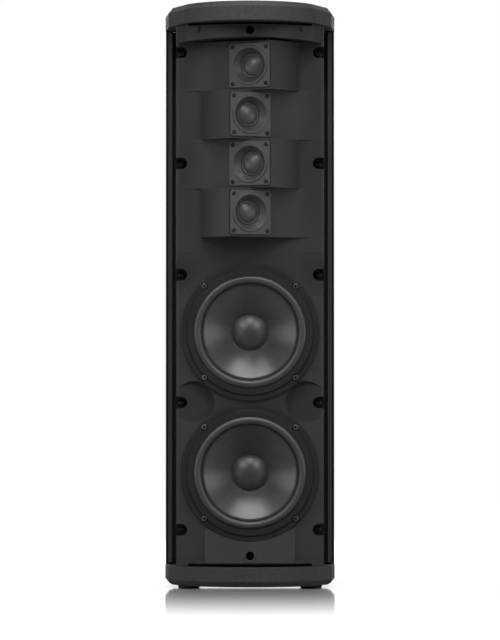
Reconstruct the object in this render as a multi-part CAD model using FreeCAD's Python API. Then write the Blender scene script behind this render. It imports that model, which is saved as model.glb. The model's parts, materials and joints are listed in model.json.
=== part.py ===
# Column loudspeaker: a tall floor-standing cabinet with two woofers and four angled
# tweeters, shown without its curved grille.
#
# X is the width, Y the depth (front is -Y), Z the height. The origin is the bottom centre of
# the whole object. Depths called "d" are counted backwards from the foremost point.
import FreeCAD, Part
import math
import os

V = FreeCAD.Vector

# ---- Overall ------------------------------------------------------------------------------
HEIGHT = 702.0
DEPTH = 230.0
FOOT_LIFT = 4.5            # gap between the floor and the bottom cap
CAP_HEIGHT = 23.3
REVEAL = 0.5               # joint line between a cap and the cabinet
GAP = 0.3                  # clearance between pieces that don't touch

# Plan outline of the caps: half widths and depths of its corners.
NOSE_X = 79.0              # where the curved front ends
NOSE_D = 47.0
CORNER_X = 98.5
CORNER_D = 97.0
WIDEST_X = 103.4
WIDEST_D = 157.0
REAR_X = 98.0
REAR_RADIUS = 12.0
BEVEL_HEIGHT = 6.4
BEVEL_INSET = 5.0
CAP_SKIN = 9.0             # thickness over the top cap's hollow
CAP_HOLLOW_HALF = 84.0
CAP_HOLLOW_MARGIN = 12.0
CAP_BOSS_RADIUS = 8.0
CAP_PILOT_DEPTH = 12.0

# ---- Cabinet ------------------------------------------------------------------------------
WALL = 5.0
END_PANEL = 8.0            # top and bottom panels
SHELL_SETBACK = 0.4        # cabinet face behind the cap outline
SHELL_FRONT_D = 150.0      # where the side walls begin, behind the grille's ends
SHELL_FRONT_X = 102.4
SHELL_REAR_D = DEPTH - 4.0
FLANGE_D = 104.0           # ledge that the baffle screws pull against
FLANGE_THICKNESS = 8.0
FLANGE_INNER_X = 74.0
FLANGE_END = 12.0          # width of the ledge above and below its doorway
NOSE_WALL = 4.0            # walls of the narrower box that carries the ledge
GROOVE_D = 162.0           # floor of the grille groove
EDGE_SLOT = 1.6            # slot between a rail and the wall's thin outer lip
EDGE_SLOT_DEPTH = 8.0
BOSS_RADIUS = 9.0          # round each rigging insert
BOSS_DEPTH = 16.0

# ---- Grille rails -------------------------------------------------------------------------
RAIL_INNER_X = 94.8
RAIL_OUTER_X = 99.7
RAIL_FRONT_D = 144.0
RAIL_TONGUE = 1.4
RAIL_END = 1.5             # rail end to cap face
PAD_HEIGHT = 8.0
PAD_THICKNESS = 1.2

# ---- Baffle -------------------------------------------------------------------------------
BAFFLE_HALF = 89.0
BAFFLE_EDGE_RADIUS = 3.5
PLANE_D = 72.0             # flat front of the baffle
LAND_D = 83.0              # depth of the side lands at their outer edge
LAND_INNER_X = 54.0
LAND_OUTER_X = 86.0
BAFFLE_WALL = 4.0
SHOULDER = 26.0            # the side lands fade out over this height each way
LAND_SHARES = (1.0, 0.9, 0.68, 0.36, 0.12, 0.02)   # their depth at even steps up the fade
BAFFLE_REAR_D = 102.0      # the gasket fills the gap to the ledge
GASKET_INSET = 0.5
SKIRT = 3.0

# Brow and sill: the curved shelves that carry the grille's ends.
BROW_FRONT_D = 26.0
BROW_BEND_X = 76.0         # where its arc meets the short straight ends
BROW_BEND_D = 52.0
BROW_SIDE_D = 72.0
BROW_SIDE_X = 87.0
BROW_ARCH = 4.0            # rise of its lower edge at the middle
BROW_HEIGHT = 19.2
SLOT_HALF = 74.0           # half width of the grille slot
SLOT_HEIGHT = 2.9
SILL_SLOT_HEIGHT = 3.7
SLOT_FLOOR_D = 60.0
LIP_REACH = 3.0
LIP_HEIGHT = 2.0
BROW_RIB_X = (6.8, 62.0)
SILL_RIB_X = (6.8, 66.0)
RIB_WIDTH = 1.6
RIB_HEIGHT = 6.0
RIB_REACH = 8.0
RIB_SETBACK = 0.6          # rib's front edge behind the lip's
SILL_RAMP_X = 54.0
SILL_RAMP_RISE = 52.2      # top of the ramp above the bottom cap
SILL_RAMP_FOOT_D = 60.0

# Screws that hold the baffle
WELL_X = 82.5
WELL_RADIUS = 7.0
WELL_WALL = 2.4
LOWER_WELLS = (43.2, 196.2, 350.2)   # heights above the bottom cap
UPPER_WELLS = (166.7, 32.7)          # distances below the top cap
WAIST_X = 71.0             # round hollows at the middle wells, between the woofers
WAIST_RADIUS = 29.0
WAIST_FLOOR_RADIUS = 23.0
CENTRE_WELL_RADIUS = 5.0
CENTRE_WELL_INSET = (12.2, 9.9)   # their axes, from the lower and the upper cap face
WELL_FLOOR_D = 99.0
WELL_MOUTH_D = 95.0        # the side wells are open to the baffle's edge down to here

# ---- Fasteners ----------------------------------------------------------------------------
SHANK_RADIUS = 2.0
HEAD_RADIUS = 3.9
HEAD_HEIGHT = 2.0
SMALL_SHANK_RADIUS = 1.3
SMALL_HEAD_RADIUS = 2.6
SMALL_HEAD_HEIGHT = 1.3
SOCKET_RADIUS = 1.5        # drive recess in a head
SOCKET_DEPTH = 1.0
BAFFLE_SCREW = 16.0        # shank lengths
WOOFER_SCREW = 14.0
TWEETER_SCREW = 8.0
CAP_SCREW = 18.0
FOOT_SCREW = 14.0
PANEL_SCREW = 6.0
HANDLE_SCREW = 7.0

# ---- Woofers ------------------------------------------------------------------------------
WOOFER_RISE = 111.7        # lower woofer's axis above the bottom cap
WOOFER_PITCH = 169.5
RIM_RADIUS = 82.5
RIM_THICKNESS = 3.5
RIM_BAND = 11.5            # flat of the frame that rests on the baffle
RIM_STEP = 6.5             # bare edge outside the trim ring
TRIM_WIDTH = 8.1
TRIM_THICKNESS = 1.7
TRIM_CHAMFER = 0.6
RUBBER = 0.8
ROLL_RADIUS = 4.7
ROLL_LIP = 2.6             # flat of the surround glued on the cone
CONE_RIM = 2.2             # flat rim of the cone under that lip
CONE_THICKNESS = 0.8
CONE_NECK_T = 32.0
CONE_MIDDLE_RADIUS = 36.0  # a nearly straight wall passes through this point
CONE_MIDDLE_T = 13.0
DUST_CAP_RADIUS = 22.0
DUST_CAP_RISE = 8.0
DUST_CAP_SKIN = 0.7
DUST_CAP_GLUE = 1.4        # width of its glued edge
FORMER_RADIUS = 13.0
FORMER_THICKNESS = 0.6
WINDING_THICKNESS = 0.6
WINDING_LENGTH = 12.0
COIL_CLEARANCE = 0.4       # former to pole piece
BASKET_DEPTH = 52.0
BASKET_THICKNESS = 2.0
BASKET_BORE = 24.0
BASKET_WINDOWS = 6
WINDOW_HALF = 14.0
WINDOW_FRONT = 12.0        # windows run between these depths behind the baffle's face
WINDOW_REAR = 38.0
MAGNET_RADIUS = 50.0
MAGNET_THICKNESS = 27.0
PLATE_INSET = 6.0          # steel plates are this much smaller than the ring magnet
TOP_PLATE = 5.0
SPIDER_T = 40.0
SPIDER_WAVES = 4
SPIDER_WAVE_HEIGHT = 1.2
SPIDER_THICKNESS = 0.7

# ---- Tweeters -----------------------------------------------------------------------------
TWEETER_DROP = 50.5        # top tweeter's axis below the top cap
TWEETER_PITCH = 58.8
TWEETER_COUNT = 4
TWEETER_TILT = 25.0
RIDGE_X = 24.0
RIDGE_RISE = 39.0          # a wedge's ridge stands this far in front of the baffle
RETURN_X = 59.5            # where the curved back of a wedge meets the baffle
RETURN_BULGE = 3.0
WEDGE_BLEND = 18.0         # tangent length of the arc where its long face meets the baffle
WEDGE_WINDOW = 40.0        # half width of the way from a wedge into the cabinet
PLATE_SIZE = 53.0
PLATE_THICKNESS = 3.0
PLATE_PROUD = 1.6
PLATE_CORNER = 3.0
PLATE_SCREW = 22.1
RING_OUTER = 23.7
RING_INNER = 20.5
RING_HEIGHT = 1.2
RING_SLOPE = 0.5
DOME_RADIUS = 12.7
DOME_RISE = 4.5
DOME_T = 8.0               # depth of the dome's edge behind the plate's face
TWEETER_MAGNET_RADIUS = 18.5
TWEETER_MAGNET_DEPTH = 12.0
TWEETER_PLATE = 4.0
TWEETER_POCKET = 20.0
TWEETER_PILOT = 8.0
THROAT_RADIUS = 14.9
DOME_SKIN = 0.5
DOME_EDGE = 1.8            # width of its rolled edge
DOME_EDGE_DROP = 0.4
DOME_FORMER = 6.0

# ---- Base ---------------------------------------------------------------------------------
FOOT_RADIUS = 13.2
FOOT_X = 73.8
FOOT_FRONT_D = 88.0
FOOT_REAR_D = DEPTH - 30.0
FOOT_RECESS = 1.5
POLE_RADIUS = 17.8
POLE_WALL = 3.2
POLE_DEPTH = 70.0
POLE_FLANGE_RADIUS = 32.0
POLE_FLANGE = 3.0
CAP_SCREW_X = 70.0
CAP_SCREW_FRONT_D = 125.0
CAP_SCREW_REAR_D = DEPTH - 35.0

# ---- Rear ---------------------------------------------------------------------------------
TRAY_HALF = 75.0
TRAY_RISE = 93.2           # above the bottom cap
TRAY_HEIGHT = 258.0
TRAY_DEPTH = 14.0
TRAY_WALL = 4.0
TRAY_LEDGE = 10.0
PANEL_THICKNESS = 3.0
PANEL_CLEARANCE = 0.5
SINK_HALF = 65.0
SINK_RISE = 134.0          # above the tray's bottom edge
SINK_DROP = 11.0           # below the tray's top edge
SINK_BASE = 3.0
FIN_COUNT = 14
FIN_THICKNESS = 1.8
FIN_HEIGHT = 9.5
KNOB_X = -38.0
KNOB_RISE = 101.0          # knob and switch axes above the tray's bottom edge
KNOB_RADIUS = 11.0
KNOB_HEIGHT = 12.0
KNOB_NOTCHES = 12
KNOB_NOTCH_RADIUS = 2.0
POT_HALF = 8.0
POT_DEPTH = 12.0
SHAFT_RADIUS = 3.0
SHAFT_CLEARANCE = 0.05
JACK_X = -38.0
JACK_RISE = 44.0
LINK_X = 2.0
JACK_WIDTH = 26.0
JACK_HEIGHT = 34.0
JACK_FLANGE = 2.0
JACK_BODY_RADIUS = 11.5
JACK_BORE_RADIUS = 9.3
JACK_DEPTH = 24.0
CONNECTOR_DEPTH = 20.0     # depth of a connector's bore
GUIDE_RADIUS = 7.6
PLUG_RADIUS = 3.3
PIN_RADIUS = 1.2
PIN_LENGTH = 12.0
PIN_CIRCLE = 4.4
TAB_WIDTH = 6.0
TAB_HEIGHT = 3.6
TAB_TRAVEL = 1.5
TAB_PROUD = 2.5
TAB_LENGTH = 8.5
TAB_RISE = 11.0            # its lower face above the socket's axis
KEEPER_WALL = 2.0
KEEPER_DEPTH = 6.0
KEEPER_HEIGHT = 5.0
CONTACT_ANGLES = (90, 210, 330)
INLET_X = 44.0
INLET_RISE = 39.0
INLET_WIDTH = 31.0
INLET_HEIGHT = 50.0
INLET_CAVITY_WIDTH = 17.0
INLET_CAVITY_HEIGHT = 25.0
INLET_CAVITY_DEPTH = 18.0
INLET_PIN_LENGTH = 9.0
SWITCH_X = 44.0
SWITCH_WIDTH = 17.0
SWITCH_HEIGHT = 24.0
SWITCH_DEPTH = 16.0
ROCKER_PIN_RADIUS = 1.5
BOARD_HALF = 55.0
BOARD_RISE = 119.0
BOARD_DROP = 7.0
BOARD_THICKNESS = 1.6
STANDOFF_LENGTH = 10.0
STANDOFF_RADIUS = 3.0
TOROID_RADIUS = 34.0
TOROID_HEIGHT = 26.0
HANDLE_DROP = 118.7        # handle's axis below the top cap
HANDLE_CUP_HALF_X = 62.0
HANDLE_CUP_HALF_Z = 32.0
HANDLE_CUP_DEPTH = 45.0
HANDLE_BAR_HALF_Z = 9.0
HANDLE_BAR_DEPTH = 14.0
HANDLE_END_X = 84.0
HANDLE_PLATE = 3.0
HANDLE_SCREW_X = 76.0
HANDLE_SINK = 1.9          # depth of the screw heads' recesses
HANDLE_EDGE = 5.0
INSERT_X = 35.0
INSERT_DROPS = (90.0, 130.0)  # below the handle's axis
INSERT_RADIUS = 5.5
INSERT_BORE = 3.35
INSERT_LENGTH = 12.0
WADDING = 25.0
WADDING_HALF = 82.0
WADDING_MARGIN = 3.0
LEAD_RADIUS = 1.6

# ---- Derived levels -----------------------------------------------------------------------
CAP_LOW_TOP = FOOT_LIFT + CAP_HEIGHT
CAP_HIGH_BOTTOM = HEIGHT - CAP_HEIGHT
SHELL_BOTTOM = CAP_LOW_TOP + REVEAL
SHELL_TOP = CAP_HIGH_BOTTOM - REVEAL
WOOFER_Z = (CAP_LOW_TOP + WOOFER_RISE + WOOFER_PITCH, CAP_LOW_TOP + WOOFER_RISE)
TWEETER_Z = [CAP_HIGH_BOTTOM - TWEETER_DROP - i * TWEETER_PITCH for i in range(TWEETER_COUNT)]
LAND_TOP_Z = CAP_LOW_TOP + LOWER_WELLS[-1]   # the side lands fade out round this height
SILL_RAMP_TOP_Z = CAP_LOW_TOP + SILL_RAMP_RISE
CUTOUT_RADIUS = RIM_RADIUS - RIM_BAND
BASKET_SEAT_RADIUS = CUTOUT_RADIUS - 29.0
TRIM_OUTER = RIM_RADIUS - RIM_STEP
WOOFER_SCREW_OFFSET = (RIM_RADIUS - RIM_STEP + SHANK_RADIUS / 2 + 0.5) / math.sqrt(2)
TRIM_INNER = TRIM_OUTER - TRIM_WIDTH
ROLL_INNER = TRIM_INNER - 2 * ROLL_RADIUS - 0.1
CONE_RIM_INNER = ROLL_INNER - 1.0 - CONE_RIM
CONE_TOP_T = -RIM_THICKNESS + 2 * CONE_THICKNESS   # top of its wall, behind the baffle's face
TRAY_BOTTOM_Z = CAP_LOW_TOP + TRAY_RISE
TRAY_TOP_Z = TRAY_BOTTOM_Z + TRAY_HEIGHT
SINK_BOTTOM_Z = TRAY_BOTTOM_Z + SINK_RISE
SINK_TOP_Z = TRAY_TOP_Z - SINK_DROP
KNOB_Z = TRAY_BOTTOM_Z + KNOB_RISE
SWITCH_Z = KNOB_Z
JACK_Z = TRAY_BOTTOM_Z + JACK_RISE
INLET_Z = TRAY_BOTTOM_Z + INLET_RISE
BOARD_BOTTOM_Z = TRAY_BOTTOM_Z + BOARD_RISE
BOARD_TOP_Z = TRAY_TOP_Z - BOARD_DROP
HANDLE_Z = CAP_HIGH_BOTTOM - HANDLE_DROP
INSERT_Z = [HANDLE_Z - drop for drop in INSERT_DROPS]
POLE_D = FLANGE_D + FLANGE_THICKNESS + POLE_RADIUS + POLE_WALL + 3.0   # clear of the ledge
LAND_FALL = LAND_D - PLANE_D
RIDGE_D = PLANE_D - RIDGE_RISE
TRAY_FLOOR_D = SHELL_REAR_D - TRAY_DEPTH
PANEL_FACE_D = TRAY_FLOOR_D + PANEL_THICKNESS
CENTRE_WELL_Z = (CAP_LOW_TOP + CENTRE_WELL_INSET[0], CAP_HIGH_BOTTOM - CENTRE_WELL_INSET[1])


# ---- Helpers ------------------------------------------------------------------------------
def y_of(depth):
    """Y coordinate of a depth behind the foremost point."""
    return depth - DEPTH / 2


def box(x0, x1, d0, d1, z0, z1):
    return Part.makeBox(x1 - x0, d1 - d0, z1 - z0, V(x0, y_of(d0), z0))


def rod(x, z, radius, d0, d1):
    """Cylinder along Y between two depths."""
    return Part.makeCylinder(radius, d1 - d0, V(x, y_of(d0), z), V(0, 1, 0))


def post(x, depth, radius, z0, z1):
    """Vertical cylinder."""
    return Part.makeCylinder(radius, z1 - z0, V(x, y_of(depth), z0), V(0, 0, 1))


def prism(points, z0, z1):
    """Upright prism over a closed plan outline of (x, depth) points."""
    corners = [V(x, y_of(d), z0) for x, d in points]
    wire = Part.makePolygon(corners + corners[:1])
    return Part.Face(wire).extrude(V(0, 0, z1 - z0))


def side_prism(points, x0, x1):
    """Prism along X over a closed side outline of (depth, z) points."""
    corners = [V(x0, y_of(d), z) for d, z in points]
    wire = Part.makePolygon(corners + corners[:1])
    return Part.Face(wire).extrude(V(x1 - x0, 0, 0))


def turned(profile, x=0.0, z=0.0, depth=0.0):
    """Solid of revolution about a Y axis through (x, z); the profile is (radius, t)."""
    corners = [V(r, t, 0) for r, t in profile]
    wire = Part.makePolygon(corners + corners[:1])
    solid = Part.Face(wire).revolve(V(0, 0, 0), V(0, 1, 0), 360)
    solid.translate(V(x, y_of(depth), z))
    return solid


def revolved_edges(edges, x=0.0, z=0.0, depth=0.0):
    """Solid of revolution from a closed list of edges drawn in the XY plane."""
    solid = Part.Face(Part.Wire(edges)).revolve(V(0, 0, 0), V(0, 1, 0), 360)
    solid.translate(V(x, y_of(depth), z))
    return solid


def line(a, b):
    return Part.LineSegment(V(*a, 0), V(*b, 0)).toShape()


def arc(a, middle, b):
    return Part.Arc(V(*a, 0), V(*middle, 0), V(*b, 0)).toShape()


def fuse(shapes):
    return shapes[0].multiFuse(shapes[1:]).removeSplitter()


def mirrored(shape):
    return shape.mirror(V(0, 0, 0), V(1, 0, 0))


def both_sides(shape):
    return [shape, mirrored(shape)]


def screw(x, z, head_d, length, shank=SHANK_RADIUS, head=HEAD_RADIUS, rise=HEAD_HEIGHT):
    """Pan-head screw driven backwards (+Y); head_d is the depth of the head's seat."""
    dome = turned([(0, -rise), (head * 0.7, -rise), (head, -rise * 0.45), (head, 0),
                   (shank, 0), (shank, length), (0, length)], x, z, head_d)
    socket = rod(x, z, SOCKET_RADIUS * shank / SHANK_RADIUS, head_d - rise, head_d - rise + SOCKET_DEPTH)
    return dome.cut(socket)


def rear_screw(x, z, head_d, length):
    """The same screw driven forwards from behind."""
    shape = screw(0, 0, DEPTH / 2, length)
    shape.rotate(V(0, 0, 0), V(0, 0, 1), 180)
    shape.translate(V(x, y_of(head_d), z))
    return shape


def upright_screw(x, depth, seat_z, length, up):
    """The same screw driven upwards (up is 1) or downwards (up is -1)."""
    shape = screw(0, 0, DEPTH / 2, length)
    shape.rotate(V(0, 0, 0), V(1, 0, 0), 90 * up)
    shape.translate(V(x, y_of(depth), seat_z))
    return shape


def export(name, shapes):
    shape = shapes[0] if len(shapes) == 1 else Part.makeCompound(shapes)
    shape.exportStep("parts/" + name + ".step")


# ---- Caps ---------------------------------------------------------------------------------
def cap_outline(rear_d):
    """Plan outline: curved front, two facets and a tapering flank on each side."""
    def at(x, d):
        return V(x, y_of(d), 0)

    nose = Part.Arc(at(-NOSE_X, NOSE_D), at(0, 0), at(NOSE_X, NOSE_D)).toShape()
    slant = (WIDEST_X - REAR_X) / (rear_d - WIDEST_D)
    flank_end_d = rear_d - REAR_RADIUS
    flank_end_x = WIDEST_X - slant * (flank_end_d - WIDEST_D)
    corner_mid_x = flank_end_x - REAR_RADIUS * (1 - math.cos(math.pi / 4))
    corner_mid_d = flank_end_d + REAR_RADIUS * math.sin(math.pi / 4)
    right = [(NOSE_X, NOSE_D), (CORNER_X, CORNER_D), (WIDEST_X, WIDEST_D), (flank_end_x, flank_end_d)]
    edges = [nose]
    for side in (1, -1):
        for start, end in zip(right, right[1:]):
            edges.append(Part.LineSegment(at(side * start[0], start[1]), at(side * end[0], end[1])).toShape())
        edges.append(Part.Arc(at(side * flank_end_x, flank_end_d), at(side * corner_mid_x, corner_mid_d),
                              at(side * (flank_end_x - REAR_RADIUS), rear_d)).toShape())
    edges.append(Part.LineSegment(at(REAR_RADIUS - flank_end_x, rear_d),
                                  at(flank_end_x - REAR_RADIUS, rear_d)).toShape())
    return Part.Wire(Part.__sortEdges__(edges))


def cap_blank():
    """Cap lying with its flat joint face at z 0 and its bevelled face up."""
    outline = cap_outline(DEPTH)
    straight = Part.Face(outline).extrude(V(0, 0, CAP_HEIGHT - BEVEL_HEIGHT))
    upper = outline.makeOffset2D(-BEVEL_INSET)
    lower = outline.copy()
    lower.translate(V(0, 0, CAP_HEIGHT - BEVEL_HEIGHT))
    upper.translate(V(0, 0, CAP_HEIGHT))
    bevel = Part.makeLoft([lower, upper], True, True)
    return straight.fuse(bevel).removeSplitter()


def top_cap():
    cap = cap_blank()
    cap.translate(V(0, 0, CAP_HIGH_BOTTOM))
    hollow = box(-CAP_HOLLOW_HALF, CAP_HOLLOW_HALF,
                 FLANGE_D + FLANGE_THICKNESS, SHELL_REAR_D - CAP_HOLLOW_MARGIN,
                 CAP_HIGH_BOTTOM, HEIGHT - CAP_SKIN)
    bosses = [post(x, d, CAP_BOSS_RADIUS, CAP_HIGH_BOTTOM, HEIGHT - CAP_SKIN) for x, d in cap_screw_places()]
    pilot_top = CAP_HIGH_BOTTOM + CAP_PILOT_DEPTH
    pilots = [post(x, d, SHANK_RADIUS, CAP_HIGH_BOTTOM - 1, pilot_top) for x, d in cap_screw_places()]
    return cap.cut(hollow).fuse(bosses).cut(pilots)


def bottom_cap():
    cap = cap_blank()
    cap.rotate(V(0, 0, 0), V(0, 1, 0), 180)
    cap.translate(V(0, 0, CAP_LOW_TOP))
    recesses = [post(x, d, FOOT_RADIUS, FOOT_LIFT, FOOT_LIFT + FOOT_RECESS) for x, d in foot_places()]
    holes = [post(x, d, SHANK_RADIUS, FOOT_LIFT, FOOT_LIFT + FOOT_SCREW + 2) for x, d in foot_places()]
    pilot_bottom = CAP_LOW_TOP - CAP_PILOT_DEPTH
    holes += [post(x, d, SHANK_RADIUS, pilot_bottom, CAP_LOW_TOP + 1) for x, d in cap_screw_places()]
    flange = post(0, POLE_D, POLE_FLANGE_RADIUS, FOOT_LIFT - 1, FOOT_LIFT + POLE_FLANGE)
    socket = post(0, POLE_D, POLE_RADIUS + POLE_WALL, FOOT_LIFT, CAP_LOW_TOP + 1)
    return cap.cut(recesses + holes + [flange, socket])


def foot_places():
    return [(side * FOOT_X, d) for side in (1, -1) for d in (FOOT_FRONT_D, FOOT_REAR_D)]


def cap_screw_places():
    return [(side * CAP_SCREW_X, d) for side in (1, -1) for d in (CAP_SCREW_FRONT_D, CAP_SCREW_REAR_D)]


# ---- Cabinet ------------------------------------------------------------------------------
def shell_outline(inset):
    """Right half-outline points of the cabinet wall, moved inwards by inset."""
    front_x = SHELL_FRONT_X - inset
    widest_x = WIDEST_X - SHELL_SETBACK - inset
    rear_x = REAR_X - SHELL_SETBACK - inset
    rear_d = SHELL_REAR_D - inset
    chamfer = REAR_RADIUS * 0.6
    return [(front_x, SHELL_FRONT_D), (widest_x, WIDEST_D), (rear_x, rear_d - chamfer),
            (rear_x - chamfer, rear_d)]


def full_outline(right):
    return right + [(-x, d) for x, d in reversed(right)]


def cabinet_walls():
    """Closed box with the narrower nose, the grille grooves and the baffle's ledge."""
    body = prism(full_outline(shell_outline(0)), SHELL_BOTTOM, SHELL_TOP)
    inside = shell_outline(WALL)
    inside[0] = (inside[0][0], SHELL_FRONT_D - 1)
    hollow = prism(full_outline(inside), SHELL_BOTTOM + END_PANEL, SHELL_TOP - END_PANEL)
    nose = box(-BAFFLE_HALF, BAFFLE_HALF, FLANGE_D, GROOVE_D + WALL, SHELL_BOTTOM, SHELL_TOP)
    wall_half = SHELL_FRONT_X - WALL / 2
    groove_floor = box(-wall_half, wall_half, GROOVE_D, GROOVE_D + WALL, SHELL_BOTTOM, SHELL_TOP)
    grooves = both_sides(box(BAFFLE_HALF, SHELL_FRONT_X - WALL, SHELL_FRONT_D - 1, GROOVE_D,
                             SHELL_BOTTOM - 1, SHELL_TOP + 1))
    grooves += both_sides(box(RAIL_OUTER_X, RAIL_OUTER_X + EDGE_SLOT, SHELL_FRONT_D - 1,
                              SHELL_FRONT_D + EDGE_SLOT_DEPTH, SHELL_BOTTOM - 1, SHELL_TOP + 1))
    room_half = BAFFLE_HALF - NOSE_WALL
    ledge_d = FLANGE_D + FLANGE_THICKNESS
    room = box(-room_half, room_half, ledge_d, GROOVE_D + WALL + 1, SHELL_BOTTOM + END_PANEL,
               SHELL_TOP - END_PANEL)
    doorway = box(-FLANGE_INNER_X, FLANGE_INNER_X, FLANGE_D - 1, ledge_d + 1,
                  SHELL_BOTTOM + END_PANEL + FLANGE_END, SHELL_TOP - END_PANEL - FLANGE_END)
    return body.cut(hollow).fuse([nose, groove_floor]).cut(grooves + [room, doorway])


def rear_bodies():
    """Material round the rigging inserts, the panel's tray and the handle's cup."""
    boss_front = SHELL_REAR_D - BOSS_DEPTH
    bosses = [rod(x, z, BOSS_RADIUS, boss_front, SHELL_REAR_D - 1) for x, z in insert_places()]
    tray_x = TRAY_HALF + TRAY_WALL
    tray = box(-tray_x, tray_x, TRAY_FLOOR_D - TRAY_WALL, SHELL_REAR_D - 1,
               TRAY_BOTTOM_Z - TRAY_WALL, TRAY_TOP_Z + TRAY_WALL)
    cup_x = HANDLE_CUP_HALF_X + TRAY_WALL
    cup_z = HANDLE_CUP_HALF_Z + TRAY_WALL
    cup = box(-cup_x, cup_x, SHELL_REAR_D - HANDLE_CUP_DEPTH - TRAY_WALL, SHELL_REAR_D - 1,
              HANDLE_Z - cup_z, HANDLE_Z + cup_z)
    return bosses + [tray, cup]


def rear_hollows():
    """The tray with its window into the cabinet, the handle's cup and the insert bores."""
    tray = box(-TRAY_HALF, TRAY_HALF, TRAY_FLOOR_D, SHELL_REAR_D + 1, TRAY_BOTTOM_Z, TRAY_TOP_Z)
    window_x = TRAY_HALF - TRAY_LEDGE
    window = box(-window_x, window_x, TRAY_FLOOR_D - TRAY_WALL - 1, SHELL_REAR_D,
                 TRAY_BOTTOM_Z + TRAY_LEDGE, TRAY_TOP_Z - TRAY_LEDGE)
    cup = box(-HANDLE_CUP_HALF_X, HANDLE_CUP_HALF_X, SHELL_REAR_D - HANDLE_CUP_DEPTH, SHELL_REAR_D + 1,
              HANDLE_Z - HANDLE_CUP_HALF_Z, HANDLE_Z + HANDLE_CUP_HALF_Z)
    insert_front = SHELL_REAR_D - INSERT_LENGTH
    bores = [rod(x, z, INSERT_RADIUS, insert_front, SHELL_REAR_D + 1) for x, z in insert_places()]
    return [tray, window, cup] + bores


def shell_screw_holes():
    """Holes for the screws of the baffle, the panel, the handle and the caps."""
    screw_end_d = WELL_FLOOR_D + BAFFLE_SCREW + 1
    holes = [rod(x, z, SHANK_RADIUS, FLANGE_D - 1, screw_end_d) for x, z in well_places()]
    handle_d = SHELL_REAR_D - WALL - 3
    for side in (1, -1):
        holes.append(rod(side * HANDLE_SCREW_X, HANDLE_Z, SHANK_RADIUS, handle_d, SHELL_REAR_D + 1))
    for x, z in panel_screw_places():
        holes.append(rod(x, z, SHANK_RADIUS, TRAY_FLOOR_D - TRAY_WALL - 1, TRAY_FLOOR_D + 1))
    for x, d in cap_screw_places():
        holes.append(post(x, d, SHANK_RADIUS, SHELL_BOTTOM - 1, SHELL_BOTTOM + END_PANEL + 1))
        holes.append(post(x, d, SHANK_RADIUS, SHELL_TOP - END_PANEL - 1, SHELL_TOP + 1))
    return holes


def cabinet_shell():
    pole_hole = post(0, POLE_D, POLE_RADIUS + POLE_WALL, SHELL_BOTTOM - 1, SHELL_BOTTOM + END_PANEL + 1)
    return cabinet_walls().fuse(rear_bodies()).cut(rear_hollows() + shell_screw_holes() + [pole_hole])


def panel_screw_places():
    inset = TRAY_LEDGE / 2
    heights = (TRAY_BOTTOM_Z + inset, (TRAY_BOTTOM_Z + TRAY_TOP_Z) / 2, TRAY_TOP_Z - inset)
    return [(side * (TRAY_HALF - inset), z) for side in (1, -1) for z in heights]


def side_rails():
    """Strips along the front edges of the cabinet that guide the grille."""
    outline = [(RAIL_INNER_X, RAIL_FRONT_D), (RAIL_OUTER_X, RAIL_FRONT_D), (RAIL_OUTER_X, SHELL_FRONT_D),
               (RAIL_INNER_X + RAIL_TONGUE, SHELL_FRONT_D), (RAIL_INNER_X + RAIL_TONGUE, GROOVE_D),
               (RAIL_INNER_X, GROOVE_D)]
    rail = prism(outline, SHELL_BOTTOM + RAIL_END, SHELL_TOP - RAIL_END)
    return both_sides(rail)


def rail_end_pads():
    """Small end pieces that cap the rails' front edges at the top and the bottom."""
    pads = []
    for z0 in (SHELL_BOTTOM + RAIL_END, SHELL_TOP - RAIL_END - PAD_HEIGHT):
        pads += both_sides(box(RAIL_INNER_X, RAIL_OUTER_X, RAIL_FRONT_D - PAD_THICKNESS, RAIL_FRONT_D,
                               z0, z0 + PAD_HEIGHT))
    return pads


# ---- Baffle -------------------------------------------------------------------------------
def side_well_heights():
    return [CAP_LOW_TOP + rise for rise in LOWER_WELLS] + [CAP_HIGH_BOTTOM - drop for drop in UPPER_WELLS]


def side_well_places():
    return [(side * WELL_X, z) for side in (1, -1) for z in side_well_heights()]


def well_places():
    """Axes of all the screws that hold the baffle."""
    return side_well_places() + [(0.0, z) for z in CENTRE_WELL_Z]


def land_section(z, share):
    """Closed section of the air in front of a side land; share 1 is full depth."""
    outer = BAFFLE_HALF + 1
    outline = [(LAND_INNER_X, -1), (outer, -1), (outer, share * (LAND_FALL + BAFFLE_EDGE_RADIUS)),
               (LAND_OUTER_X, share * LAND_FALL), (LAND_INNER_X, 0)]
    corners = [V(x, y_of(PLANE_D + fall), z) for x, fall in outline]
    return Part.makePolygon(corners + corners[:1])


def side_land():
    """Air in front of one side land: a long wedge that fades out into the flat front."""
    low_z = LAND_TOP_Z - SHOULDER
    low = Part.makeLoft([land_section(SHELL_BOTTOM - 1, 1), land_section(low_z, 1)], True, True)
    steps = len(LAND_SHARES) - 1
    sections = [land_section(low_z + 2 * SHOULDER * i / steps, share) for i, share in enumerate(LAND_SHARES)]
    return low.fuse(Part.makeLoft(sections, True, False))


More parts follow.
